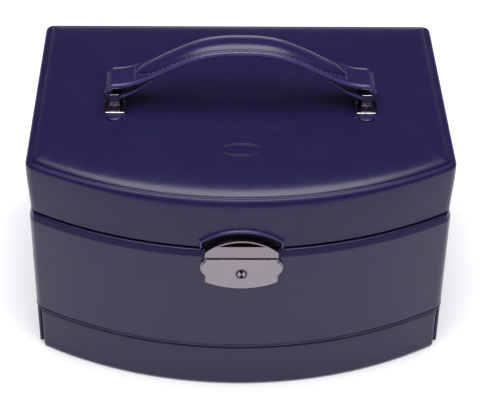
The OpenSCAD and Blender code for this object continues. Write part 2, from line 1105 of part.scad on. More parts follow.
module tray_frame() {
    color(suede_c)
        difference() {
            slab(tray_plan(0), tray_z, tray_top);
            slab(tray_plan(tray_wall), tray_z - eps, tray_top + eps);
        }
}

module tray_floor() {
    color(suede_c)
        slab(tray_plan(tray_wall), tray_z, tray_z + tray_floor_t);
}

module tray_wall_y(x, y0, y1) {
    block([x - thin_div / 2, y0, tray_z + tray_floor_t], [x + thin_div / 2, y1, tray_div_top]);
}

module tray_dividers() {
    half = thin_div / 2;
    color(suede_c)
        intersection() {
            slab(tray_plan(tray_wall), tray_z + tray_floor_t, tray_div_top);
            union() {
                block([-case_w, tray_cross_y - half, 0], [case_w, tray_cross_y + half, rim_z]);
                for (s = [-1, 1]) {
                    tray_wall_y(s * tray_back_x, tray_cross_y, back_y);
                    tray_wall_y(s * (roll_half + thin_div / 2), front_y, tray_cross_y);
                }
            }
        }
}

module ring_rolls() {
    y0 = tray_cross_y - thin_div / 2 - ring_roll_r - 1;
    color(suede_c)
        for (k = [0:ring_roll_count - 1])
            translate([-roll_half, y0 - k * ring_roll_pitch, tray_z + tray_floor_t + ring_roll_r])
                rotate([0, 90, 0])
                    cylinder(r = ring_roll_r, h = 2 * roll_half);
}

// Ribbon loops that stand up inside the tray's sides, for lifting it out.
module tray_tabs() {
    x = case_w / 2 - tray_in - tray_wall - 1;
    color(leather_c)
        for (s = [-1, 1])
            block([s * x - 1, -10, tray_top - 14], [s * x + 1, 10, tray_top + 6]);
}

// ---- drawer ----

// The region of the drawer's bowed front, between two distances from the leather's face.
module bowed_board(in0, in1, half, z0, z1) {
    intersection() {
        difference() {
            slab(plan(0, in0, 0, 1, 1), z0, z1);
            slab(plan(-wide, in1, -wide, 1, 1), z0 - eps, z1 + eps);
        }
        block([-half, front_y - eps, z0], [half, joint_y, z1]);
    }
}

module drawer_front() {
    l = drawer_leather;
    color(wood_c)
        bowed_board(drawer_in - drawer_front_t + l, drawer_in, drawer_front_half - l,
            drawer_front_z[0] + l, drawer_front_z[1] - l);
}

module drawer_front_leather() {
    in0 = drawer_in - drawer_front_t;
    l = drawer_leather;
    color(leather_c)
        difference() {
            bowed_board(in0, drawer_in, drawer_front_half, drawer_front_z[0], drawer_front_z[1]);
            bowed_board(in0 + l, drawer_in + eps, drawer_front_half - l,
                drawer_front_z[0] + l, drawer_front_z[1] - l);
        }
}

// The whole of the drawer's box, behind its bowed front.
module drawer_box(z0, z1) {
    x = case_w / 2 - drawer_side;
    intersection() {
        slab(plan(-wide, drawer_in, -wide, 1, 1), z0, z1);
        block([-x, front_y, z0], [x, back_y - drawer_back, z1]);
    }
}

module drawer_floor() {
    color(suede_c)
        drawer_box(drawer_z, drawer_z + drawer_floor_t);
}

module drawer_sides() {
    x1 = case_w / 2 - drawer_side;
    x0 = x1 - drawer_board_t;
    color(suede_c)
        intersection() {
            drawer_box(drawer_z + drawer_floor_t, drawer_top);
            for (s = [-1, 1])
                block([min(s * x0, s * x1), front_y, 0],
                    [max(s * x0, s * x1), back_y - drawer_back, rim_z]);
        }
}

module drawer_back_board() {
    x = case_w / 2 - drawer_side - drawer_board_t;
    y = back_y - drawer_back;
    color(suede_c)
        block([-x, y - drawer_board_t, drawer_z + drawer_floor_t], [x, y, drawer_top]);
}

module drawer_dividers() {
    color(suede_c)
        intersection() {
            drawer_box(drawer_z + drawer_floor_t, drawer_top - 3);
            for (s = [-1, 1])
                block([s * drawer_div_x - thin_div / 2, front_y, 0],
                    [s * drawer_div_x + thin_div / 2, back_y - drawer_back - drawer_board_t, rim_z]);
        }
}

base_felt();
base_board();
left_wall();
right_wall();
back_wall();
front_wall();
partition_board();
case_leather();
rim_roll();
compartment_lining();
lower_dividers();
tray_ledges();
hinge_leaf_case_left();
hinge_leaf_case_right();
hinge_pins();
hinge_screws_case();
lock_case();
lock_spring();
lock_screws();
lid_board();
lid_left_wall();
lid_right_wall();
lid_back_wall();
lid_front_wall();
lid_leather();
lid_pad();
lid_piping();
lid_lining();
mirror_frame();
mirror();
hinge_leaf_lid_left();
hinge_leaf_lid_right();
hinge_screws_lid();
hasp_plate();
hasp_tongue();
hasp_rivets();
handle_bracket_left();
handle_bracket_right();
bracket_rivets();
bracket_tabs();
link_pins();
link_left();
link_right();
handle_strap();
handle_pad();
tray_frame();
tray_floor();
tray_dividers();
ring_rolls();
tray_tabs();
drawer_front();
drawer_front_leather();
drawer_sides();
drawer_back_board();
drawer_floor();
drawer_dividers();
lock_plate();
latch_bolt();
key_plug();
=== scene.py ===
"""Looks of the leather jewellery case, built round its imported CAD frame.

Lengths in this file are millimetres in the frame's own axes: +X right, +Y back, +Z up.
`build` turns them into metres when it makes a mesh.
"""

import math

import bmesh
import bpy
import numpy as np
from mathutils import Matrix, Vector

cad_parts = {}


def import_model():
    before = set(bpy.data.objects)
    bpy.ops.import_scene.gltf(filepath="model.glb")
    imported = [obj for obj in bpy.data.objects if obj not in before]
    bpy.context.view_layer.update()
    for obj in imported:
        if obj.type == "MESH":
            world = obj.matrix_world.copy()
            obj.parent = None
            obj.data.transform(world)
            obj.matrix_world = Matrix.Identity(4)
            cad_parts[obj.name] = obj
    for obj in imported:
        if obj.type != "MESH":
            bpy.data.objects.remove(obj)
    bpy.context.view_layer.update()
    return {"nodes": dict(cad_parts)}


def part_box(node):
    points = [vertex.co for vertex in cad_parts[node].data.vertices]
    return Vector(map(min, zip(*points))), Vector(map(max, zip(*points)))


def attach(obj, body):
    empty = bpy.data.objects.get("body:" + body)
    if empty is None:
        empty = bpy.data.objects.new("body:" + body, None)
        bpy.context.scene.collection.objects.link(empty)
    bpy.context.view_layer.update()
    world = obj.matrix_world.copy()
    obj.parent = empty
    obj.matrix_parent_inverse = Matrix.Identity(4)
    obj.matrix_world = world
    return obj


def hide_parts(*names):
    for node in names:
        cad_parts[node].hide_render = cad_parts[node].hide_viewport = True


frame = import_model()
MM = 0.001


def cad(node):
    """The lowest and highest corner of a CAD node, in millimetres."""
    lo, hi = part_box(node)
    return lo / MM, hi / MM


# ---- sizes of the frame ----

CASE_LO, CASE_HI = cad("case_leather")
HALF_W = CASE_HI.x
BACK_Y = CASE_HI.y
FRONT_Y = CASE_LO.y
BOW = 38.0                  # how far the front bows out beyond its corners
CORNER_Y = FRONT_Y + BOW
FRONT_R = (HALF_W**2 + BOW**2) / (2 * BOW)
FRONT_CY = FRONT_Y + FRONT_R
FRONT_CORNER = 9.0          # radius of the front corners
BACK_CORNER = 5.0           # radius of the back corners
JOINT_Y = CORNER_Y + 10     # the side boards' front ends, beside the drawer
SKIN = 1.2                  # thickness of the leather
WALL_IN = 7.2               # leather and board
ROOM_IN = 8.0               # leather, board and lining
FELT_T = cad("base_felt")[1].z
BAY_TOP = cad("partition_board")[0].z
RIM_Z = cad("rim_roll")[1].z
LID_Z = cad("lid_leather")[0].z
BOARD_TOP = cad("lid_board")[1].z
PAD_TOP = cad("lid_pad")[1].z
LINK_PIN_R = 1.25
LINK_BAR_R = 0.75
SPAN = cad("link_pins")[1].x - LINK_PIN_R      # from the middle to each link
BAR_Z = cad("link_left")[1].z - LINK_BAR_R     # height of the links' bars
STRAP_W = 22.0
STRAP_T = 3.0
STRAP_RISE = 23.85          # how far the strap arches above its ends
STRAP_OVER_BAR = 6.095      # from a bar up to the strap's upper face at its end
STRAP_FULL = 1.3            # how full the arch is; 1 is a plain cosine
LOOP_R = 4.6                # radius of the strap's turn round a bar
HASP_LO, HASP_HI = cad("hasp_plate")
HASP_ARC = 31.6             # radius of the hasp's arched top
HASP_CENTRE = HASP_HI.z - HASP_ARC
RECESS_HALF = 22.8          # half the width of the lid's hollow round the hasp
RECESS_ARC = HASP_ARC + 4.6
FRONT_STEP = 2.5            # spacing of the outline's points along the bowed front
FINE_STEP = 0.45            # spacing round the hasp, across and up
FINE_HALF = 30.0            # half the stretch of the front with the fine spacing


# ---- mesh helpers ----


def build(name, points, faces, body, slot, mats, stands_for=()):
    """A piece from points in millimetres and faces, on a body, with its materials."""
    mesh = bpy.data.meshes.new(name)
    mesh.from_pydata([Vector(p) * MM for p in points], [], faces)
    bm = bmesh.new()
    bm.from_mesh(mesh)
    bmesh.ops.remove_doubles(bm, verts=bm.verts, dist=1e-6)
    bmesh.ops.recalc_face_normals(bm, faces=bm.faces)
    bm.to_mesh(mesh)
    bm.free()
    mesh.polygons.foreach_set("use_smooth", [True] * len(mesh.polygons))
    return place(name, mesh, body, mats, stands_for)


def add(name, data):
    """A new object in the scene, holding a mesh, lamp or camera."""
    made = bpy.data.objects.new(name, data)
    bpy.context.scene.collection.objects.link(made)
    return made


def place(name, mesh, body, mats, stands_for=()):
    """An object for a finished mesh, on its body, standing for CAD nodes."""
    piece = add(name, mesh)
    for mat in mats if isinstance(mats, (list, tuple)) else [mats]:
        mesh.materials.append(mat)
    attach(piece, body)
    if stands_for:
        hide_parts(*stands_for)
    return piece


def loft(rings, closed=True, loop=False, caps=False):
    """Points and faces of a skin over rings of the same number of points."""
    n = len(rings[0])
    points = [p for ring in rings for p in ring]
    faces = []
    last = len(rings) if loop else len(rings) - 1
    for i in range(last):
        a = i * n
        b = (i + 1) % len(rings) * n
        for k in range(n if closed else n - 1):
            j = (k + 1) % n
            faces.append((a + k, a + j, b + j, b + k))
    if caps:
        faces.append(tuple(range(n - 1, -1, -1)))
        faces.append(tuple(range((len(rings) - 1) * n, len(rings) * n)))
    return points, faces


def merge(parts):
    """Several (points, faces) pairs as one."""
    points = []
    faces = []
    for more_points, more_faces in parts:
        start = len(points)
        points += list(more_points)
        faces += [tuple(i + start for i in face) for face in more_faces]
    return points, faces


def smoothstep(a, b, x):
    """0 up to a, 1 from b on, and a smooth rise between them."""
    t = np.clip((np.asarray(x, float) - a) / (b - a), 0, 1)
    return t * t * (3 - 2 * t)


def bell(x, centre, width):
    """1 at the centre, fading to 0 within a few widths of it."""
    return math.exp(-(((x - centre) / width) ** 2))


def tube(path, radius, sides=8, closed=False):
    """A tube along a path of points; radius is a number or one for each point."""
    path = [Vector(p) for p in path]
    count = len(path)
    radii = [radius] * count if isinstance(radius, (int, float)) else radius
    rings = []
    side = None
    for i, p in enumerate(path):
        ahead = path[(i + 1) % count] if closed or i < count - 1 else p
        behind = path[i - 1] if closed or i else p
        along = (ahead - behind).normalized()
        if side is None:
            side = along.cross(Vector((0.1, 0.2, 1))).normalized()
        side = (side - along * side.dot(along)).normalized()
        up = along.cross(side)
        rings.append(
            [
                p + (side * math.cos(a) + up * math.sin(a)) * radii[i]
                for a in (2 * math.pi * k / sides for k in range(sides))
            ]
        )
    return loft(rings, loop=closed, caps=not closed)


# ---- the case's outline ----


def corner_centre(side, front, r):
    """Centre of the right front fillet of an outline set in by side and front."""
    x = HALF_W - side - r
    return x, FRONT_CY - math.sqrt((FRONT_R - front - r) ** 2 - x * x)


def outline_parts(middle_step=FRONT_STEP):
    """The case's outline as named runs of (point, outward normal), counter-clockwise."""
    cx, cy = corner_centre(0, 0, FRONT_CORNER)
    turn = math.atan2(cy - FRONT_CY, cx)
    reach = math.pi / 2 + turn
    angles = []
    a = -reach
    while a < reach - 1e-6:
        angles.append(a)
        near = abs(FRONT_R * a) < FINE_HALF
        a += (middle_step if near else FRONT_STEP) / FRONT_R
    front = [polar(0, FRONT_CY, FRONT_R, b - math.pi / 2) for b in angles]
    right_fillet = arc_run(cx, cy, FRONT_CORNER, turn, 0, 10)
    side_y = np.linspace(cy, BACK_Y - BACK_CORNER, 28)[1:]
    right = [((HALF_W, y), (1, 0)) for y in side_y]
    bx = HALF_W - BACK_CORNER
    by = BACK_Y - BACK_CORNER
    back_right = arc_run(bx, by, BACK_CORNER, 0, math.pi / 2, 8)
    back = [((x, BACK_Y), (0, 1)) for x in np.linspace(bx, -bx, 60)[1:]]
    back_left = arc_run(-bx, by, BACK_CORNER, math.pi / 2, math.pi, 8)
    left = [((-HALF_W, y), (-1, 0)) for y in side_y[::-1]]
    left_fillet = arc_run(-cx, cy, FRONT_CORNER, math.pi, math.pi - turn, 10)
    return {
        "front": front,
        "right_fillet": right_fillet,
        "right": right,
        "back_right": back_right,
        "back": back,
        "back_left": back_left,
        "left": left + [((-HALF_W, cy), (-1, 0))],
        "left_fillet": left_fillet[:-1],
    }


def polar(cx, cy, r, angle):
    """The point of a circle at an angle, and its outward normal."""
    n = (math.cos(angle), math.sin(angle))
    return (cx + r * n[0], cy + r * n[1]), n


def arc_run(cx, cy, r, a0, a1, steps):
    """Points after the first one of an arc from a0 to a1."""
    return [polar(cx, cy, r, a0 + (a1 - a0) * k / steps) for k in range(0, steps + 1)][1:]


def outline(middle_step=FRONT_STEP):
    """The whole outline as (point, outward normal) pairs."""
    return [pair for run in outline_parts(middle_step).values() for pair in run]


def inset(pairs, d, z):
    """The outline's points moved inwards by d, at height z; both may be one for each point."""
    ds = np.broadcast_to(d, len(pairs))
    zs = np.broadcast_to(z, len(pairs))
    return [
        (p[0] - n[0] * di, p[1] - n[1] * di, zi)
        for (p, n), di, zi in zip(pairs, ds, zs)
    ]


def arc_profile(cd, cz, r, a0, a1, steps):
    """(inset, height) points on an arc; angle 0 points outwards and 90 up."""
    return [
        (cd - r * math.cos(a), cz + r * math.sin(a))
        for a in np.radians(np.linspace(a0, a1, steps + 1))
    ]


# ---- materials ----


class Nodes:
    """Short calls that build a material's nodes."""

    def __init__(self, name):
        self.mat = bpy.data.materials.new(name)
        self.mat.use_nodes = True
        self.tree = self.mat.node_tree
        self.shader = self.tree.nodes["Principled BSDF"]
        self.coord = self.tree.nodes.new("ShaderNodeTexCoord").outputs["Object"]

    def node(self, kind, inputs=None, **settings):
        made = self.tree.nodes.new("ShaderNode" + kind)
        for key, value in settings.items():
            setattr(made, key, value)
        for key, value in (inputs or {}).items():
            self.link(value, made.inputs[key])
        return made

    def link(self, value, socket):
        if isinstance(value, bpy.types.NodeSocket):
            self.tree.links.new(value, socket)
        else:
            socket.default_value = value

    def noise(self, scale, detail, rough, stretch=None):
        where = self.coord
        if stretch:
            where = self.node("Mapping", {"Vector": where, "Scale": stretch}).outputs[0]
        return self.node(
            "TexNoise",
            {"Vector": where, "Scale": scale, "Detail": detail, "Roughness": rough},
        ).outputs["Fac"]

    def cells(self, scale):
        return self.node("TexVoronoi", {"Vector": self.coord, "Scale": scale}).outputs["Distance"]

    def waves(self, scale, distortion, direction):
        where = {"Vector": self.coord, "Scale": scale, "Distortion": distortion}
        return self.node("TexWave", where, bands_direction=direction).outputs["Fac"]

    def ramp(self, value, stops):
        made = self.node("ValToRGB", {"Fac": value})
        for k, (place_at, colour) in enumerate(stops):
            if k >= 2:
                made.color_ramp.elements.new(place_at)
            made.color_ramp.elements[k].position = place_at
            made.color_ramp.elements[k].color = (*colour, 1)
        return made.outputs["Color"]

    def span(self, value, a, b, c, d):
        return self.node(
            "MapRange",
            {"Value": value, "From Min": a, "From Max": b, "To Min": c, "To Max": d},
        ).outputs["Result"]

    def mix(self, fac, a, b, mode="MIX"):
        made = self.node("Mix", data_type="RGBA", blend_type=mode)
        for key, value in ((0, fac), (6, a), (7, b)):
            if isinstance(value, tuple):
                value = (*value, 1)
            self.link(value, made.inputs[key])
        return made.outputs[2]

    def bump(self, height, distance, strength=1.0, under=None):
        made = self.node("Bump", {"Height": height, "Distance": distance, "Strength": strength})
        if under:
            self.link(under, made.inputs["Normal"])
        return made.outputs["Normal"]

    def set(self, **values):
        for key, value in values.items():
            self.link(value, self.shader.inputs[key.replace("_", " ")])
        return self.mat


def leather(name, dark, light, rough, grain=1500.0, relief=0.00006, gloss_level=0.5):
    """Fine-grained leather: soft patches of colour, pores, creases and a worn sheen."""
    crease = 0.35
    m = Nodes(name)
    patch = m.noise(26.0, 4.0, 0.6)
    cloud = m.noise(140.0, 3.0, 0.5)
    tone = m.mix(m.span(patch, 0.35, 0.65, 0.0, 1.0), dark, light)
    pores = m.cells(grain)
    pore_tone = m.span(pores, 0.0, 0.35, 0.82, 1.0)
    cloud_tone = m.span(cloud, 0.3, 0.7, 0.93, 1.07)
    shade = m.node("Math", {0: pore_tone, 1: cloud_tone}, operation="MULTIPLY").outputs[0]
    grey = m.node("CombineXYZ", {0: shade, 1: shade, 2: shade}).outputs[0]
    colour = m.mix(1.0, tone, grey, "MULTIPLY")
    creases = m.noise(620.0, 5.0, 0.62, (1.0, 0.75, 1.0))
    fine = m.bump(pores, relief, 0.45)
    relief_all = m.bump(creases, relief * 1.4, crease, fine)
    gloss = m.span(m.noise(48.0, 4.0, 0.6), 0.3, 0.7, rough - 0.02, rough + 0.03)
    m.set(Base_Color=colour, Roughness=gloss, Normal=relief_all)
    return m.set(Specular_IOR_Level=gloss_level)


def suede(name, dark, light):
    """Short napped suede with brushed patches."""
    nap = 900.0
    m = Nodes(name)
    brushed = m.noise(34.0, 5.0, 0.65, (1.0, 1.6, 1.0))
    nap_noise = m.noise(nap, 3.0, 0.7)
    tone = m.mix(m.span(brushed, 0.32, 0.68, 0.0, 1.0), dark, light)
    speck = m.mix(m.span(nap_noise, 0.35, 0.7, 0.0, 0.35), tone, tuple(c * 1.5 for c in light))
    relief = m.bump(nap_noise, 0.00014, 0.55)
    m.set(Base_Color=speck, Roughness=0.92, Normal=relief, Specular_IOR_Level=0.2)
    return m.set(Sheen_Weight=0.45, Sheen_Roughness=0.45)


def metal(name, base, rough):
    """Plated metal with a fine brushed grain, smudges and small scratches."""
    brushed = (1.0, 1.0, 18.0)
    scratch = 0.2
    m = Nodes(name)
    smudge = m.noise(60.0, 4.0, 0.6)
    lines = m.noise(700.0, 2.0, 0.6, brushed)
    tone = m.mix(m.span(smudge, 0.3, 0.7, 0.0, 1.0), tuple(c * 0.9 for c in base), base)
    gloss = m.span(smudge, 0.3, 0.7, rough - 0.05, rough + 0.07)
    relief = m.bump(lines, 0.00002, scratch)
    return m.set(Base_Color=tone, Metallic=1.0, Roughness=gloss, Normal=relief)


def felt_material(name, dark, light):
    """Pressed felt: matt fibres over soft lumps."""
    m = Nodes(name)
    fibres = m.noise(1400.0, 5.0, 0.75)
    lumps = m.noise(220.0, 3.0, 0.6)
    tone = m.mix(m.span(fibres, 0.35, 0.7, 0.0, 1.0), dark, light)
    relief = m.bump(fibres, 0.0002, 0.7, m.bump(lumps, 0.0002, 0.4))
    return m.set(Base_Color=tone, Roughness=0.97, Normal=relief, Sheen_Weight=0.3)


def wood(name):
    """Bare board with a long grain and pores."""
    m = Nodes(name)
    grain = m.noise(55.0, 6.0, 0.6, (1.0, 9.0, 9.0))
    pores = m.noise(900.0, 2.0, 0.6, (0.08, 1.0, 1.0))
    tone = m.ramp(
        grain,
        [(0.3, (0.36, 0.22, 0.11)), (0.55, (0.55, 0.38, 0.21)), (0.72, (0.44, 0.28, 0.14))],
    )
    relief = m.bump(pores, 0.00006, 0.4)
    return m.set(Base_Color=tone, Roughness=0.6, Normal=relief)


def thread_material(name, base):
    """Twisted thread."""
    m = Nodes(name)
    twist = m.waves(900.0, 1.5, "DIAGONAL")
    tone = m.mix(m.span(twist, 0.2, 0.8, 0.0, 1.0), tuple(c * 0.6 for c in base), base)
    return m.set(Base_Color=tone, Roughness=0.55, Normal=m.bump(twist, 0.00005, 0.6))


def ribbon_material(name, base):
    """Woven ribbon with fine ribs."""
    m = Nodes(name)
    ribs = m.waves(520.0, 0.6, "Z")
    tone = m.mix(m.span(ribs, 0.0, 1.0, 0.0, 1.0), tuple(c * 0.7 for c in base), base)
    return m.set(Base_Color=tone, Roughness=0.5, Normal=m.bump(ribs, 0.00012, 0.5))


def mirror_material(name):
    """Mirror glass with a little haze."""
    m = Nodes(name)
    haze = m.noise(30.0, 4.0, 0.6)
    gloss = m.span(haze, 0.3, 0.7, 0.01, 0.035)
    return m.set(Base_Color=(0.86, 0.88, 0.9, 1), Metallic=1.0, Roughness=gloss)


# painted shade: this copy of the indigo leather, for the padded top and its small pieces, is coloured
# darker than the sides' copies, to stand for the dimmer light the top takes
LEATHER_PAINTED_DARKER = leather(
    "leather_indigo_painted_darker", (0.0074, 0.0052, 0.041), (0.0088, 0.0063, 0.046), 0.32, 1500.0, 0.0001,
    gloss_level=0.43,
)
LEATHER_FACE = leather(
    "leather_indigo_sides", (0.0105, 0.0062, 0.048), (0.0135, 0.0082, 0.056), 0.36, gloss_level=0.41
)
LEATHER_LID = leather(
    "leather_indigo_lid", (0.0105, 0.0062, 0.050), (0.0130, 0.0080, 0.058), 0.36, gloss_level=0.31
)
LEATHER_STRAP = leather(
    "leather_indigo_strap", (0.0115, 0.0085, 0.050), (0.0150, 0.0112, 0.060), 0.27, 1300.0, 0.00009,
    gloss_level=0.42,
)
# painted highlight: a lighter violet leather for the strap's edge beads and the lip round the hasp's
# hollow, standing for the bright lines light makes on their rounded edges
LEATHER_PAINTED_HIGHLIGHT = leather(
    "leather_painted_highlight_edge", (0.034, 0.028, 0.105), (0.048, 0.040, 0.14), 0.24, 1300.0, 0.00004
)
# painted shade: a near-black leather for the floor of the hollow round the hasp, darkened for the
# shade that falls there
RECESS_PAINTED_SHADE = leather(
    "leather_recess_painted_shade", (0.004, 0.0035, 0.009), (0.006, 0.005, 0.013), 0.5, gloss_level=0.12
)
EDGE = leather(
    "leather_painted_edge", (0.012, 0.009, 0.036), (0.018, 0.014, 0.05), 0.30, 700.0, 0.00004
)
SUEDE = suede("suede_violet", (0.060, 0.050, 0.130), (0.085, 0.072, 0.17))
NICKEL = metal("nickel_satin", (0.235, 0.205, 0.228), 0.27)
NICKEL_BRIGHT = metal("nickel_bright", (0.25, 0.224, 0.243), 0.22)
CHROME = metal("nickel_polished", (0.56, 0.52, 0.55), 0.14)
STEEL = metal("spring_steel", (0.45, 0.45, 0.47), 0.35)
FELT = felt_material("felt_midnight", (0.008, 0.008, 0.018), (0.022, 0.020, 0.045))
WOOD = wood("wood_board")
# painted shade: a near-black metal laid in the hasp's hollow, on the key plug's sunk faces and on the
# strip on the lock plate's top, where only shade falls
PAINTED_SHADE_BLACK = metal("painted_shade_black", (0.012, 0.011, 0.013), 0.5)
THREAD = thread_material("thread_indigo", (0.10, 0.085, 0.23))
RIBBON = ribbon_material("ribbon_indigo", (0.035, 0.028, 0.12))
MIRROR = mirror_material("mirror_glass")


# ---- CAD nodes with rounded edges ----


def refine(node, body, mat, radius, segments=2):
    """A piece with a CAD node's shape and rounded edges, standing for it."""
    sharp = math.radians(32.0)
    source = frame["nodes"][node].data
    bm = bmesh.new()
    bm.from_mesh(source)
    bmesh.ops.remove_doubles(bm, verts=bm.verts, dist=2e-6)
    bmesh.ops.dissolve_limit(
        bm, angle_limit=math.radians(1.0), use_dissolve_boundaries=False,
        verts=bm.verts, edges=bm.edges,
    )
    bmesh.ops.recalc_face_normals(bm, faces=bm.faces)
    edges = [
        e for e in bm.edges
        if len(e.link_faces) == 2 and e.calc_face_angle(0) > sharp
    ]
    if edges:
        bmesh.ops.bevel(
            bm, geom=edges, offset=radius * MM, offset_type="OFFSET", segments=segments,
            profile=0.5, affect="EDGES", clamp_overlap=True, miter_outer="ARC",
        )
    mesh = bpy.data.meshes.new("piece_" + node)
    bm.to_mesh(mesh)
    bm.free()
    mesh.polygons.foreach_set("use_smooth", [True] * len(mesh.polygons))
    piece = place(node + "_piece", mesh, body, mat, (node,))
    weigh(piece)
    return piece


def paint_hollow_shade(piece, y_front, y_back):
    """Paints shade inside the hasp's hollow: its faces behind the lip get the near-black material, as
    painted shade.
    """
    lip = 0.75
    rim = 0.7
    piece.data.materials.append(PAINTED_SHADE_BLACK)
    for face in piece.data.polygons:
        x, y, z = face.center / MM
        in_arch = math.hypot(x, z - HASP_CENTRE) < HASP_ARC - lip
        in_sides = abs(x) < HASP_HI.x - rim and z > HASP_LO.z + rim
        if in_arch and in_sides and y_front + lip < y < y_back:
            face.material_index = 1


def weigh(piece):
    """Shades flat faces flat and lets rounded edges turn between them."""
    keep = piece.modifiers.new("weighted", "WEIGHTED_NORMAL")
    keep.keep_sharp = True
    keep.weight = 100


# ---- the case ----

SIDE_OUT = 0.45         # how far the case's padded leather stands outside its plain wall
FRONT_BULGE = 1.1       # how much further it stands out along the bowed front
HEM_LIFT = 1.05         # from the drawer bay's top up to the leather's hem
HEM_R = 0.9             # radius of the hem's roll
HEM_WELT_R = 0.95       # radius of the welt below the hem
SHOULDER = 6.2          # height of the padded shoulder below the rim
SHOULDER_LEAN = 21.0    # the shoulder's steepest lean, in degrees
SHOULDER_STEP = 0.3
RIM_SINK = 0.45         # from the rim's highest level down to its tight roll
RIM_R = 1.1             # radius of the rim's tight roll outside
ROOM_R = 1.2            # radius of the rim's roll inside


def padded_shoulder():
    """(inset, height) points up the padded shoulder and round the rim's tight roll."""
    lean = math.radians(SHOULDER_LEAN)
    d = -SIDE_OUT
    z = RIM_Z - SHOULDER
    points = []
    while z < RIM_Z - RIM_SINK - RIM_R * (1 - math.sin(lean)):
        leaning = lean * float(smoothstep(RIM_Z - 5.8, RIM_Z - 4.4, z))
        d += SHOULDER_STEP * math.tan(leaning)
        z += SHOULDER_STEP
        points.append((d, z))
    cd = d + RIM_R * math.cos(lean)
    cz = z - RIM_R * math.sin(lean)
    return points + arc_profile(cd, cz, RIM_R, SHOULDER_LEAN, 88, 8)


def case_cover():
    """Leather over the case's walls: a padded shoulder and a tight rolled rim."""
    pairs = outline()
    hem_z = BAY_TOP + HEM_LIFT
    hem = [(6.2, hem_z + 0.25), (1.6, hem_z)]
    hem += arc_profile(HEM_R - SIDE_OUT, hem_z + HEM_R, HEM_R, -90, 0, 5)
    face = [(-SIDE_OUT, z) for z in np.linspace(BAY_TOP + 4, RIM_Z - 9.4, 14)]
    crown = [(4.4, RIM_Z - 0.6), (5.3, RIM_Z - 0.6), (6.2, RIM_Z - 0.8)]
    inner = arc_profile(ROOM_IN - ROOM_R, RIM_Z - 2 * ROOM_R, ROOM_R, 110, 180, 5)
    tail = [(ROOM_IN, RIM_Z - 3 * ROOM_R), (ROOM_IN, RIM_Z - 5.0)]
    rings = []
    front = front_weight(pairs)
    bulge = FRONT_BULGE * front_facing(pairs)
    for hd, hz in hem:
        d = (hd - bulge) * front - SIDE_OUT * (1 - front)
        rings.append(inset(pairs, d, BAY_TOP + (hz - BAY_TOP) * front))
    for pd, pz in face + padded_shoulder():
        rings.append(inset(pairs, pd - bulge, pz))
    for pd, pz in crown + inner + tail:
        rings.append(inset(pairs, pd, pz))
    build(
        "case_cover", *loft(rings), "case", "leather", LEATHER_FACE,
        stands_for=("case_leather", "rim_roll"),
    )


def hem_welt():
    """A thin rolled welt along the case's front, just above the drawer."""
    parts = outline_parts()
    around = parts["left"] + parts["left_fillet"] + parts["front"]
    around += parts["right_fillet"] + parts["right"]
    path = [pair for pair in around if pair[0][1] < JOINT_Y - SKIN]
    profile = arc_profile(0.25, BAY_TOP + 0.3, HEM_WELT_R, -180, 160, 14)
    bulge = FRONT_BULGE * front_facing(path)
    rings = [inset(path, d - bulge, z) for d, z in profile]
    sections = [list(section) for section in zip(*rings)]
    build("hem_welt", *loft(sections, caps=True), "case", "leather", LEATHER_FACE)


def front_facing(pairs):
    """1 where the outline faces the front, fading to 0 round its corners."""
    return smoothstep(0.35, 0.9, np.array([-n[1] for _, n in pairs]))


def front_weight(pairs):
    """1 at the outline's points in front of the side boards' ends, 0 elsewhere."""
    return np.array([1.0 if p[1] < JOINT_Y - SKIN else 0.0 for p, _ in pairs])


def case_skirt():
    """Leather round the drawer bay: sides and back, turned round the side boards' ends."""
    parts = outline_parts()
    foot_r = 2.4
    lip_long = 4.8
    lip_thick = 2.3
    end_y = JOINT_Y - SKIN
    lip_y = end_y - lip_long
    inner_x = HALF_W - WALL_IN
    lip_x = HALF_W - lip_thick
    tip_r = (SIDE_OUT + lip_thick) / 2
    turn = [((inner_x, end_y + 8), (0, 0)), ((inner_x, end_y + 1.4), (0, 0))]
    turn += [((inner_x + 0.5, end_y + 0.3), (0, 0)), ((inner_x + 1.5, end_y), (0, 0))]
    turn += [((lip_x - 0.7, end_y - 0.05), (0, 0)), ((lip_x, end_y - 0.8), (0, 0))]
    turn += [((lip_x, lip_y + tip_r + 0.6), (0, 0))]
    for a in np.radians(np.linspace(180, 350, 8)):
        x = lip_x + tip_r + tip_r * math.cos(a)
        turn.append(((x, lip_y + tip_r + tip_r * math.sin(a)), (0, 0)))
    side_y = np.linspace(lip_y + 2.4, BACK_Y - BACK_CORNER, 24)
    side = [((HALF_W, y), (1, 0)) for y in side_y]
    path = turn + side + parts["back_right"] + parts["back"]
    half = [pair for pair in path if pair[0][0] > 0]
    other = [((-p[0], p[1]), (-n[0], n[1])) for p, n in reversed(half)]
    path = half + other
    profile = [(3.2, FELT_T + 0.05), (1.9, FELT_T)]
    profile += arc_profile(foot_r - SIDE_OUT, FELT_T + foot_r, foot_r, -90, 0, 7)[1:]
    profile += [(-SIDE_OUT, z) for z in np.linspace(FELT_T + 4, BAY_TOP, 9)]
    rings = [inset(path, d, z) for d, z in profile]
    build("case_skirt", *loft(rings, closed=False), "case", "leather", LEATHER_FACE)


# ---- the lid ----

EDGE_TOP = BOARD_TOP + 0.8      # top of the lid side's rolled edge
EDGE_TURN = 46.0                # where the side's slow roll meets the tight fold at its top
EDGE_R = 3.4                    # radius of the slow roll
EDGE_FULLER = 3.6               # how much that radius grows along the front's middle
FOLD_R = 1.5                    # radius of the tight fold
WELT_R = 0.65                   # radius of the corded welt
LIP_W = 1.9                     # width of the lip round the hasp's hollow, coloured lighter as a painted highlight
ROWS_TOP = 127.0                # height the fine rows round the hollow reach
PAD_SEAM = 0.45                 # the padded top's rise at its seam
PAD_QUICK = 2.5                 # its quick rise beside that
PAD_SLOW = 1.6                  # its slow rise to the middle
UNDERSIDE = BOARD_TOP - 1.2     # the pad's underside, in the board

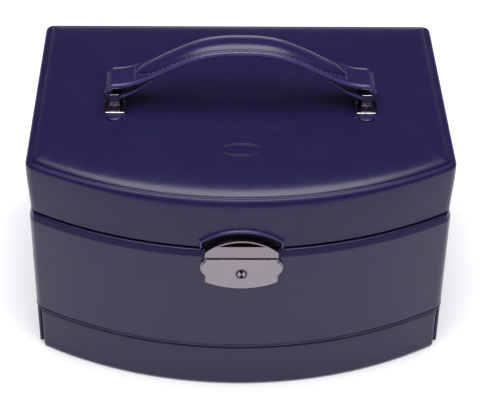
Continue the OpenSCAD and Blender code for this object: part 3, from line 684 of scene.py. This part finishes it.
# how the leather stands out at distances from the edge of the hollow round the hasp
RECESS_GAPS = (-0.7, -0.1, 0.15, 0.4, 0.8, 1.1, 2.3, 2.8, 3.8)
RECESS_LIFTS = (-0.32, -0.25, 1.2, 1.85, 2.15, 2.05, 0.6, 0.25, 0.0)


def front_middle(x, y, reach):
    """1 along the middle of the bowed front, fading to 0 past reach and elsewhere."""
    return np.exp(-((x / reach) ** 4)) * (y < 0)


def edge_radius(pairs):
    """Radius of the side's slow roll below its top edge: fuller along the front's middle."""
    x = np.array([p[0] for p, _ in pairs])
    y = np.array([p[1] for p, _ in pairs])
    return EDGE_R + EDGE_FULLER * front_middle(x, y, 85.0)


def edge_inset(pairs):
    """How far in from the side's face its top edge ends, in the groove beside the pad."""
    turn = math.cos(math.radians(EDGE_TURN))
    return edge_radius(pairs) * (1 - turn) + FOLD_R * (turn + 0.6)


def flare(z):
    """How far the padded side of the lid stands out at a height."""
    return -0.72 + 1.35 * smoothstep(LID_Z - 4, LID_Z + 30, z)


def recess_gap(x, z):
    """Distance outside the hollow round the hasp; less than 0 inside it."""
    return np.maximum(np.abs(x) - RECESS_HALF - 0.4, np.hypot(x, z - HASP_CENTRE) - RECESS_ARC)


def lid_cover():
    """Leather on the lid's walls, rolled over their top edge and hollowed round the hasp."""
    pairs = outline(FINE_STEP)
    under = [(WALL_IN, LID_Z + 1.0), (WALL_IN - 0.8, LID_Z + 0.15), (2.4, LID_Z)]
    under += arc_profile(1.1 - flare(LID_Z), LID_Z + 1.1, 1.1, -90, 0, 6)
    radius = edge_radius(pairs)
    turn = math.radians(EDGE_TURN)
    roll_z = EDGE_TOP - FOLD_R * (1 - math.sin(turn)) - radius * math.sin(turn)
    rows = [*np.arange(LID_Z + 1.5, ROWS_TOP, FINE_STEP), ROWS_TOP + 1.0, ROWS_TOP + 2.5]
    x = np.array([p[0] for p, _ in pairs])
    front = np.array([1.0 if n[1] < -0.9 else 0.0 for _, n in pairs])
    rings = []
    for d, z in under + [(-flare(z), z) for z in rows]:
        gap = recess_gap(x, z)
        lift = np.interp(gap, RECESS_GAPS, RECESS_LIFTS)
        rings.append(inset(pairs, d - lift * front * (d < SKIN), z))
    top_out = -flare(roll_z)
    for t in np.linspace(0.12, 1.0, 6):
        z = rows[-1] + (roll_z - rows[-1]) * t
        rings.append(inset(pairs, -flare(z), z))
    for a in np.linspace(0, turn, 9)[1:]:
        d = top_out + radius * (1 - math.cos(a))
        rings.append(inset(pairs, d, roll_z + radius * math.sin(a)))
    centre_d = top_out + radius * (1 - math.cos(turn)) + FOLD_R * math.cos(turn)
    centre_z = EDGE_TOP - FOLD_R
    for a in np.radians(np.linspace(EDGE_TURN, 125, 9)[1:]):
        d = centre_d - FOLD_R * math.cos(a)
        rings.append(inset(pairs, d, centre_z + FOLD_R * math.sin(a)))
    rings.append(inset(pairs, centre_d + FOLD_R, EDGE_TOP - 2.2))
    cover = build(
        "lid_cover", *loft(rings), "lid", "leather", [LEATHER_LID, RECESS_PAINTED_SHADE, LEATHER_PAINTED_HIGHLIGHT],
        stands_for=("lid_leather",),
    )
    # the hollow's floor gets the near-black leather as painted shade, and its lip the lighter leather
    # as a painted highlight
    for face in cover.data.polygons:
        at = face.center / MM
        gap = recess_gap(at.x, at.z)
        if face.normal.y < -0.3 and at.y < 0 and gap < LIP_W:
            face.material_index = 1 if gap < 0.12 else 2


def pad_height(d, x, y, start):
    """Height of the padded top at a distance d from the outline, where it starts at start."""
    soft = 2.0 + 1.6 * front_middle(x, y, 80.0)
    past = np.maximum(d - start, 0)
    seam = PAD_SEAM * (1 - np.exp(-past / 0.4))
    quick = PAD_QUICK * (1 - np.exp(-past / soft))
    slow = PAD_SLOW * (1 - np.exp(-past / 17.0))
    return BOARD_TOP + 0.05 + seam + quick + slow


def pad_rings(pairs, centre):
    """Rings of points on the padded top, from its seam in towards its centre."""
    edge = np.array([p for p, _ in pairs])
    start = edge_inset(pairs) + 0.1
    shifts = (0.0, 0.2, 0.45, 0.75, 1.1, 1.5)
    plans = [np.array(inset(pairs, start + d, 0))[:, :2] for d in shifts]
    seam_side = plans[-1]
    near = (0.008, 0.02, 0.035, 0.055, 0.08, 0.11, 0.15)
    far = (0.2, 0.26, 0.34, 0.44, 0.56, 0.7, 0.84, 0.95)
    plans += [seam_side + (centre - seam_side) * t for t in near + far]
    rings = []
    for xy in plans:
        gaps = np.sqrt(((xy[:, None, :] - edge[None, :, :]) ** 2).sum(2)).min(1)
        z = pad_height(gaps, xy[:, 0], xy[:, 1], start)
        rings.append([(p[0], p[1], h) for p, h in zip(xy, z)])
    return rings


def lid_top_pad():
    """The padded leather top: a soft rounded rise inside the side's rolled edge."""
    pairs = outline()
    centre = np.array([0.0, (BACK_Y + FRONT_Y) / 2 + 4])
    rings = pad_rings(pairs, centre)
    points, faces = loft(rings)
    n = len(pairs)
    points.append((centre[0], centre[1], float(points[-1][2])))
    last = (len(rings) - 1) * n
    faces += [(last + k, last + (k + 1) % n, len(points) - 1) for k in range(n)]
    under = len(points)
    points += [(p[0], p[1], UNDERSIDE) for p in rings[0]]
    points.append((centre[0], centre[1], UNDERSIDE))
    faces += [(under + k, under + (k + 1) % n, (k + 1) % n, k) for k in range(n)]
    faces += [(under + (k + 1) % n, under + k, len(points) - 1) for k in range(n)]
    pad = build("lid_top_pad", points, faces, "lid", "leather", LEATHER_PAINTED_DARKER, stands_for=("lid_pad",))


def lid_piping():
    """A fine corded welt in the groove between the side's rolled edge and the pad."""
    pairs = outline()
    middle = edge_inset(pairs) - 0.1
    rings = []
    for a in np.radians(np.linspace(0, 360, 13)[:-1]):
        d = middle - WELT_R * math.cos(a)
        rings.append(inset(pairs, d, BOARD_TOP - 0.1 + WELT_R * math.sin(a)))
    points, faces = loft(rings, loop=True)
    build(
        "lid_piping_welt", points, faces, "lid", "leather", EDGE, stands_for=("lid_piping",)
    )


def tooled_z(x, y):
    """Height of the padded top under the tooled ovals, which are far inside its seam."""
    seam = 3.9
    d = abs(math.hypot(x, y - FRONT_CY) - FRONT_R)
    return float(pad_height(d, x, y, seam)) + 0.02


def tooled_ovals():
    """Two plain ovals, one inside the other, tooled into the pad near its front edge."""
    middle_y = -53.0
    steps = 64
    parts = []
    for a, b in ((14.0, 6.6), (12.3, 5.1)):
        path = []
        for k in range(steps):
            t = 2 * math.pi * k / steps
            x = a * math.cos(t)
            y = middle_y + b * math.sin(t)
            path.append((x, y, tooled_z(x, y)))
        parts.append(tube(path, 0.26, 6, closed=True))
    build("tooled_oval", *merge(parts), "lid", "leather", LEATHER_PAINTED_DARKER)


# ---- the drawer ----


def drawer_front_cover():
    """Leather round the drawer's bowed front, softly rounded along its top edge."""
    lo, hi = cad("drawer_front_leather")
    in0 = 0.5
    in1 = 8.0
    top_r = 3.4
    low_r = 1.0
    profile = arc_profile(in0 + low_r, lo.z + low_r, low_r, -90, 0, 4)
    profile += [(in0, z) for z in np.linspace(lo.z + 3, hi.z - top_r - 1.5, 6)]
    profile += arc_profile(in0 + top_r, hi.z - top_r, top_r, 0, 90, 9)
    profile += arc_profile(in1 - low_r, hi.z - low_r, low_r, 90, 180, 4)
    profile += [(in1, z) for z in np.linspace(hi.z - 5, lo.z + 4, 3)]
    profile += arc_profile(in1 - low_r, lo.z + low_r, low_r, 180, 270, 4)
    mid = ((in0 + in1) / 2, (lo.z + hi.z) / 2)
    end = math.asin(hi.x / (FRONT_R - in0))
    stations = [(0.0, 1.3), (0.12, 0.75), (0.4, 0.35), (0.8, 0.12), (1.3, 0.0)]
    plain = end - 2.5 / FRONT_R
    turns = [(-end + distance / FRONT_R, squeeze) for distance, squeeze in stations]
    turns += [(a, 0.0) for a in np.linspace(-plain, plain, 110)]
    turns += [(end - distance / FRONT_R, squeeze) for distance, squeeze in reversed(stations)]
    rings = []
    for a, squeeze in turns:
        ring = []
        for d, z in profile:
            d += squeeze if d < mid[0] else -squeeze
            z += squeeze if z < mid[1] else -squeeze
            x = (FRONT_R - in0) * math.sin(a)
            ring.append((x, FRONT_CY - math.sqrt((FRONT_R - d) ** 2 - x * x), z))
        rings.append(ring)
    build(
        "drawer_front_cover", *loft(rings, caps=True), "drawer", "leather", LEATHER_FACE,
        stands_for=("drawer_front_leather",),
    )


# ---- the handle ----

BEAD_W = 1.05           # width of the bead along each edge of the strap, coloured lighter as a painted highlight
EDGE_R_STRAP = 0.9      # radius of the strap's edge
GRIP_HALF = 65.0        # half the padded grip's length
GRIP_W = 7.6            # half its width
GRIP_H = 2.9            # its height over the strap
STITCH_PITCH = 2.9
STITCH_R = 0.26
STITCH_BOW = 0.22


def strap_top(x):
    """Height of the strap's upper face at a distance x from the middle."""
    way_out = min(abs(x) / SPAN, 1) ** STRAP_FULL
    return BAR_Z + STRAP_OVER_BAR + STRAP_RISE * (1 + math.cos(way_out * math.pi)) / 2


def strap_up(x):
    """The way the strap's upper face looks, as (x, z)."""
    reach = 0.01
    slope = math.atan((strap_top(x + reach) - strap_top(x - reach)) / (2 * reach))
    return -math.sin(slope), math.cos(slope)


def grip_half_width(x):
    """Half the padded grip's width at a distance x from the strap's middle."""
    t = min(abs(x) / GRIP_HALF, 1.0)
    return GRIP_W * max(0.0, 1 - t**9) ** 0.6


def strap_surface(x, y):
    """How far the strap's upper face stands above its flat level."""
    w = grip_half_width(x)
    edge = STRAP_W / 2 - abs(y)
    level = 0.45 * bell(edge, 0.85, 0.55) - 0.3 * bell(edge, 2.1, 0.42)
    if abs(x) >= GRIP_HALF or w <= 0.2:
        return level
    fade = min(1.0, (GRIP_HALF - abs(x)) / 9.0)
    height = GRIP_H * math.sin(fade * math.pi / 2) ** 0.8
    level -= 0.35 * bell(abs(y), w + 0.6, 0.4) * fade
    if abs(y) < w:
        return level + height * (1 - (abs(y) / w) ** 2.4) ** 0.7
    return level


def strap_path():
    """(x, z, way up) along the strap's middle layer, from the left end to the right end."""
    half = STRAP_T / 2
    right = []
    for x in np.linspace(0, SPAN, 90):
        up = strap_up(x)
        top = strap_top(x)
        right.append((x - up[0] * half, top - up[1] * half, up))
    for a in np.radians(np.linspace(80, -90, 16)):
        up = (math.cos(a), math.sin(a))
        right.append((SPAN + up[0] * LOOP_R, BAR_Z + up[1] * LOOP_R, up))
    for x in np.linspace(SPAN - 2.5, SPAN - 23.5, 12):
        t = float(np.clip((SPAN - x) / 21.0, 0, 1)) ** 0.8
        under = strap_top(x) - 1.5 * STRAP_T + 0.35
        z = (BAR_Z - LOOP_R) * (1 - t) + under * t
        right.append((x, z, (0.45 * (1 - (1 - t) ** 3), -1.0)))
    left = [(-x, z, (-u[0], u[1])) for x, z, u in reversed(right[1:])]
    return left + right


def handle_strap():
    """The strap, round both bars and back, with its padded grip, creases, and edge beads coloured
    lighter as a painted highlight.
    """
    half_w = STRAP_W / 2
    flat = half_w - EDGE_R_STRAP
    rings = []
    for x, z, up in strap_path():
        arch = abs(x) <= SPAN and up[1] > 0.5
        length = math.hypot(*up)
        ux = up[0] / length
        uz = up[1] / length
        skived = 1.0
        if up[1] <= -0.95:
            skived = float(smoothstep(SPAN - 25, SPAN - 15, abs(x)))
        half_t = (STRAP_T / 2 - 0.1) * (0.5 + 0.5 * skived)
        ring = []
        for y in np.linspace(-flat, flat, 53):
            h = half_t + strap_surface(x if arch else SPAN, y)
            ring.append((x + ux * h, y, z + uz * h))
        for a in np.radians(np.linspace(70, -70, 8)):
            h = half_t * math.sin(a)
            ring.append((x + ux * h, flat + EDGE_R_STRAP * math.cos(a), z + uz * h))
        for y in np.linspace(flat, -flat, 9):
            ring.append((x - ux * half_t, y, z - uz * half_t))
        for a in np.radians(np.linspace(-70, 70, 8)):
            h = half_t * math.sin(a)
            ring.append((x + ux * h, -flat - EDGE_R_STRAP * math.cos(a), z + uz * h))
        rings.append(ring)
    points, faces = loft(rings, caps=True)
    strap = build(
        "handle_strap_leather", points, faces, "handle", "leather", [LEATHER_STRAP, LEATHER_PAINTED_HIGHLIGHT],
        stands_for=("handle_strap", "handle_pad"),
    )
    # faces along each edge get the lighter leather: a painted highlight on the edge beads
    for face in strap.data.polygons:
        if half_w - abs(face.center.y) / MM < BEAD_W:
            face.material_index = 1


def strap_point(x, y, lift):
    """A point a little above the strap's upper face."""
    up_x, up_z = strap_up(x)
    up = Vector((up_x, 0, up_z))
    h = strap_surface(x, y) - 0.1 + lift
    return Vector((x, y, strap_top(x))) + up * h


def stitch(a, b):
    """One stitch between two points, bowed up in its middle."""
    sunk = 0.12
    path = []
    for t in np.linspace(0, 1, 6):
        rise = math.sin(math.pi * t) * STITCH_BOW - sunk
        path.append(a.lerp(b, float(t)) + Vector((0, 0, rise)))
    tip = STITCH_R * 0.55
    return tube(path, [tip, STITCH_R, STITCH_R, STITCH_R, STITCH_R, tip], 6)


def grip_stitches():
    """Stitches round the padded grip, and across the strap at its turned-back ends."""
    parts = []
    for side in (-1, 1):
        x = -GRIP_HALF + 1.0
        while x < GRIP_HALF - 3:
            ends = []
            for at in (x, x + STITCH_PITCH * 0.68):
                y = side * (grip_half_width(at) + 0.6)
                ends.append(strap_point(at, y, 0.14))
            parts.append(stitch(*ends))
            x += STITCH_PITCH
    for side in (-1, 1):
        x = side * (GRIP_HALF + 0.9)
        for y in np.arange(-6.0, 6.1, 2.4):
            parts.append(stitch(strap_point(x, y - 0.8, 0.1), strap_point(x, y + 0.8, 0.1)))
    build("handle_stitches", *merge(parts), "handle", "leather", THREAD)


# share of a tongue's plan, and the height, at each step up its domed edge
TONGUE_RISE = ((1.0, 0.0), (1.0, 0.7), (0.97, 1.0), (0.9, 1.2), (0.75, 1.35), (0.5, 1.45), (0.22, 1.5))


TONGUE_LONG = 8.0
TONGUE_HALF = 5.2                               # half a tongue's width
TONGUE_FOOT = cad("bracket_tabs")[1].y - TONGUE_LONG
FOOT_HALF = 6.1                                 # half the width of a bracket's turned-down foot


def at_bracket_ends(sections):
    """Lofts of the same rings, (x, outwards, z) from the foot, at both ends of both brackets."""
    parts = []
    for sx in (-1, 1):
        for sy in (-1, 1):
            rings = [
                [(sx * SPAN + x, sy * (TONGUE_FOOT + y), z) for x, y, z in ring]
                for ring in sections
            ]
            parts.append(loft(rings, caps=True))
    return merge(parts)


def bracket_feet():
    """The turned-down foot at each end of a bracket's plate, just behind its tongue."""
    turn = np.radians(np.linspace(30, 180, 7))
    section = [(-0.4, -0.6), (-0.4, 0.9)]
    section += [(0.5 - 0.5 * math.cos(a), 0.9 + 0.5 * math.sin(a)) for a in turn]
    section += [(1.0, -0.6)]
    rings = []
    for back, low in ((0.0, 0.35), (0.2, 0.1), (0.6, 0.0)):
        rings.append([(back - FOOT_HALF, y, PAD_TOP + z - low) for y, z in section])
    rings += [[(-x, y, z) for x, y, z in ring] for ring in reversed(rings)]
    build("bracket_feet", *at_bracket_ends(rings), "lid", "nickel", CHROME)


def bracket_tongues():
    """Leather tongues in front of and behind each bracket, domed and rounded."""
    base_z = PAD_TOP - 0.6
    rings = []
    for s, h in TONGUE_RISE:
        half = TONGUE_HALF * s
        z = base_z + h
        ring = []
        for a in np.radians(np.linspace(0, 180, 19)):
            ring.append((half * math.cos(a), 3.4 + 4.6 * s * math.sin(a), z))
        ring += [(-half, y, z) for y in (2.4, 1.2)]
        ring += [(x, 1.1, z) for x in np.linspace(-half, half, 5)[1:-1]]
        ring += [(half, y, z) for y in (1.2, 2.4)]
        rings.append(ring)
    build(
        "bracket_tongues", *at_bracket_ends(rings), "lid", "leather", LEATHER_PAINTED_DARKER,
        stands_for=("bracket_tabs",),
    )


# ---- the lock ----


def key_plug():
    """The round plug: a ring groove, and a keyway between two round holes."""
    lo, hi = cad("key_plug")
    cx = (lo.x + hi.x) / 2
    cz = (lo.z + hi.z) / 2
    radius = hi.x - cx
    face_y = lo.y
    radii = [0.25, 0.5, 0.75, 1.0, 1.25, 1.5, 1.75, 2.0, 2.2, 2.4, 2.5, 2.55, 2.65, 3.1, 3.2]
    radii += [3.25, radius - 0.1, radius]
    turns = np.linspace(0, 2 * math.pi, 73)[:-1]

    def depth(x, z, r):
        ring = smoothstep(2.45, 2.65, r) * (1 - smoothstep(3.1, 3.3, r)) * 0.9
        holes = max(1 - smoothstep(0.8, 1.05, math.hypot(x, z - 1.75 * way)) for way in (-1, 1))
        slot = (1 - smoothstep(0.1, 0.3, abs(x))) * (1 - smoothstep(1.3, 1.6, abs(z)))
        return float(max(ring, holes * 0.9, slot * 0.55, 0.3 * smoothstep(3.2, 3.3, r)))

    rings = []
    for r in radii:
        ring = []
        for a in turns:
            x = r * math.cos(a)
            z = r * math.sin(a)
            ring.append((cx + x, face_y + depth(x, z, r), cz + z))
        rings.append(ring)
    rings.append([(cx + radius * math.cos(a), hi.y, cz + radius * math.sin(a)) for a in turns])
    points, faces = loft(rings)
    n = len(turns)
    points.append((cx, face_y + depth(0, 0, 0), cz))
    faces += [((k + 1) % n, k, len(points) - 1) for k in range(n)]
    plug = build(
        "key_plug_face", points, faces, "key", "nickel", [NICKEL_BRIGHT, PAINTED_SHADE_BLACK],
        stands_for=("key_plug",),
    )
    # faces sunk into the ring groove, the holes and the keyway get the near-black material: painted
    # shade
    for face in plug.data.polygons:
        if face.center.y > (face_y + 0.42) * MM:
            face.material_index = 1


def lock_painted_shadow_strip():
    """A thin black strip along the top of the lock plate, under the hasp: painted shadow standing for
    the dark gap there.
    """
    lo, hi = cad("lock_plate")
    half = 21.6
    ripple = 0.02
    y0 = lo.y + 0.5
    back = hi.y - y0
    rings = []
    for x in np.linspace(-half, half, 40):
        top = hi.z - ripple * math.cos(x * 3) ** 2
        section = ((0.0, -1.0), (0.0, 0.35), (0.15, 0.55), (back, 0.6), (back, -1.0))
        rings.append([(x, y0 + dy, top + dz) for dy, dz in section])
    build("lock_painted_shadow_strip", *loft(rings, caps=True), "lock", "felt", PAINTED_SHADE_BLACK)


# ---- inside ----


def ring_roll_cushions():
    """Soft suede rolls that pinch in at their ends."""
    lo, hi = cad("ring_rolls")
    radius = (hi.z - lo.z) / 2
    pitch = 2 * radius + 1
    count = round((hi.y - lo.y - 2 * radius) / pitch) + 1
    for k in range(count):
        y0 = hi.y - radius - k * pitch
        rings = []
        for t in np.linspace(-1, 1, 33):
            x = t * (hi.x - 0.3)
            end = max(0.0, 1 - abs(t) ** 26) ** 0.5
            plump = 1.0 + 0.025 * math.sin(t * 9 + k * 1.7)
            r = radius * min(1.0, 0.18 + 0.82 * end) * plump * 0.99
            ring = []
            for a in np.linspace(0, 2 * math.pi, 25)[:-1]:
                z = r * math.sin(a)
                sink = 0.92 if z < 0 else 1.0
                ring.append((x, y0 + r * math.cos(a), lo.z + radius + z * sink))
            rings.append(ring)
        roll = build(
            f"ring_roll_{k + 1}", *loft(rings, caps=True), "tray", "suede", SUEDE,
            stands_for=("ring_rolls",),
        )


def tray_ribbons():
    """Folded ribbon loops that lift the tray out."""
    lo, hi = cad("tray_tabs")
    bottom = lo.z + 1
    top = hi.z - 0.8
    half_gap = 0.75
    fold_r = 0.8
    parts = []
    for side in (-1, 1):
        x = side * (hi.x - 1.0)
        path = [(x - side * half_gap, z) for z in np.linspace(bottom, top - 2, 7)]
        for a in np.radians(np.linspace(200, -20, 9)):
            path.append((x + side * fold_r * math.cos(a), top - fold_r + fold_r * math.sin(a)))
        path += [(x + side * half_gap, z) for z in np.linspace(top - 2, bottom, 7)]
        rings = []
        for k, y in enumerate(np.linspace(-9.6, 9.6, 11)):
            wave = 0.12 * math.sin(k * 1.1)
            rings.append([(px + wave, y, pz) for px, pz in path])
        parts.append(loft(rings, closed=False))
    ribbons = build(
        "tray_ribbons", *merge(parts), "tray", "leather", RIBBON, stands_for=("tray_tabs",)
    )
    thick = ribbons.modifiers.new("thick", "SOLIDIFY")
    thick.thickness = 0.35 * MM
    thick.offset = 0


def mirror_surround():
    """A padded leather frame round the mirror."""
    hi = cad("mirror_frame")[1]
    corner_r = 4.0
    profile = [(0.0, 0.0), (0.15, 1.0), (0.9, 1.9), (2.2, 2.45)]
    profile += [(3.4, 2.5), (4.8, 2.1), (5.8, 1.2), (6.2, 0.2)]
    rings = []
    for inward, drop in profile:
        r = max(corner_r - inward, 0.6)
        cx = hi.x - inward - r
        cy = hi.y - inward - r
        ring = []
        for x, y, start in ((cx, -cy, -90), (cx, cy, 0), (-cx, cy, 90), (-cx, -cy, 180)):
            for a in np.radians(np.linspace(start, start + 90, 7)):
                ring.append((x + r * math.cos(a), y + r * math.sin(a), hi.z - drop))
        rings.append(ring)
    build("mirror_surround", *loft(rings), "lid", "leather", LEATHER_PAINTED_DARKER, stands_for=("mirror_frame",))


# ---- assembly ----

case_cover()
hem_welt()
case_skirt()
lid_cover()
lid_top_pad()
lid_piping()
tooled_ovals()
drawer_front_cover()
handle_strap()
grip_stitches()
bracket_feet()
bracket_tongues()
ring_roll_cushions()
tray_ribbons()
mirror_surround()

for board in ("left_wall", "right_wall", "back_wall", "front_wall", "partition_board", "base_board"):
    refine(board, "case", WOOD, 0.3)
for board in ("lid_left_wall", "lid_right_wall", "lid_back_wall", "lid_front_wall"):
    refine(board, "lid", WOOD, 0.3)
refine("lid_board", "lid", WOOD, 2.9, 4)
refine("drawer_front", "drawer", WOOD, 2.7, 4)
refine("base_felt", "case", FELT, 0.3)
for lined in ("compartment_lining", "lower_dividers", "tray_ledges"):
    refine(lined, "case", SUEDE, 0.35, 3)
refine("lid_lining", "lid", SUEDE, 0.35, 3)
for lined in ("tray_frame", "tray_floor", "tray_dividers"):
    refine(lined, "tray", SUEDE, 1.1, 4)
for lined in ("drawer_sides", "drawer_back_board", "drawer_floor", "drawer_dividers"):
    refine(lined, "drawer", SUEDE, 1.1, 4)
refine("mirror", "lid", MIRROR, 0.3)

METAL_CASE = (
    "hinge_leaf_case_left", "hinge_leaf_case_right", "hinge_pins", "hinge_screws_case",
    "lock_case", "lock_screws",
)
METAL_LID = (
    "hinge_leaf_lid_left", "hinge_leaf_lid_right", "hinge_screws_lid", "hasp_plate",
    "hasp_tongue", "hasp_rivets", "handle_bracket_left", "handle_bracket_right",
    "bracket_rivets", "link_pins",
)
for part in METAL_CASE:
    refine(part, "case", NICKEL, 0.18)
for part in METAL_LID:
    piece = refine(part, "lid", NICKEL, 0.22)
    if part == "hasp_plate":
        # painted shade in black inside the hasp's hollow
        paint_hollow_shade(piece, HASP_LO.y, FRONT_Y - 0.7)
refine("link_left", "link_left", CHROME, 0.4, 3)
refine("link_right", "link_right", CHROME, 0.4, 3)
refine("lock_plate", "lock", NICKEL_BRIGHT, 0.3, 3)
refine("latch_bolt", "lock", NICKEL, 0.2)
key_plug()
lock_painted_shadow_strip()
spring = frame["nodes"]["lock_spring"].data
spring.materials.clear()
spring.materials.append(STEEL)


# ---- studio ----


def floor():
    """A pale floor far wider than the view, which glows a little."""
    mesh = bpy.data.meshes.new("studio_floor")
    half = 6.0
    corners = [(-half, -half, 0), (half, -half, 0), (half, half, 0), (-half, half, 0)]
    mesh.from_pydata(corners, [], [(0, 1, 2, 3)])
    obj = add("studio_floor", mesh)
    m = Nodes("studio_floor")
    m.set(Base_Color=(0.93, 0.93, 0.93, 1), Roughness=0.9, Specular_IOR_Level=0.1)
    m.set(Emission_Color=(1.0, 1.0, 1.0, 1), Emission_Strength=0.12)
    mesh.materials.append(m.mat)


def area_light(name, where, target, size, power, colour=(1, 1, 1), size_y=None):
    """A rectangular lamp that looks at its target."""
    lamp = bpy.data.lights.new(name, "AREA")
    lamp.energy = power
    lamp.color = colour
    lamp.shape = "RECTANGLE"
    lamp.size = size
    lamp.size_y = size_y or size
    obj = add(name, lamp)
    obj.location = where
    obj.rotation_euler = (Vector(target) - Vector(where)).to_track_quat("-Z", "Y").to_euler()


def world():
    """White behind the object, and a dim room for everything that isn't seen directly."""
    w = bpy.data.worlds.new("studio")
    bpy.context.scene.world = w
    w.use_nodes = True
    nodes = w.node_tree.nodes
    links = w.node_tree.links
    back = nodes["Background"]
    seen = nodes.new("ShaderNodeBackground")
    seen.inputs["Color"].default_value = (1, 1, 1, 1)
    seen.inputs["Strength"].default_value = 1.0
    back.inputs["Color"].default_value = (0.055, 0.05, 0.085, 1)
    back.inputs["Strength"].default_value = 1.0
    path = nodes.new("ShaderNodeLightPath")
    mix = nodes.new("ShaderNodeMixShader")
    links.new(path.outputs["Is Camera Ray"], mix.inputs[0])
    links.new(back.outputs[0], mix.inputs[1])
    links.new(seen.outputs[0], mix.inputs[2])
    links.new(mix.outputs[0], nodes["World Output"].inputs["Surface"])


def camera():
    """The camera, above and in front, level but for a slight roll."""
    target = Vector((0.0014, -0.0026, 0.0695))
    distance = 1.07
    elevation = math.radians(37.1)
    azimuth = math.radians(1.308)
    roll = math.radians(0.908)
    forward = Vector(
        (
            math.sin(azimuth) * math.cos(elevation),
            math.cos(azimuth) * math.cos(elevation),
            -math.sin(elevation),
        )
    )
    right = Vector((math.cos(azimuth), -math.sin(azimuth), 0))
    up = right.cross(forward)
    turned_right = right * math.cos(roll) + up * math.sin(roll)
    turned_up = up * math.cos(roll) - right * math.sin(roll)
    cam = bpy.data.cameras.new("camera")
    cam.lens = 121.0
    cam.sensor_width = 36.0
    cam.dof.use_dof = False
    obj = add("camera", cam)
    basis = Matrix((turned_right, turned_up, -forward)).transposed().to_4x4()
    obj.matrix_world = Matrix.Translation(target - forward * distance) @ basis
    bpy.context.scene.camera = obj


floor()
area_light("softbox", (0, -0.22, 1.35), (0, -0.05, 0), 1.3, 32.0)
area_light("back_card", (0, 1.7, 0.32), (0, 0, 0.1), 2.4, 1.5, (1.0, 0.97, 1.0), 0.6)
world()
camera()
bpy.context.scene.view_settings.view_transform = "Standard"
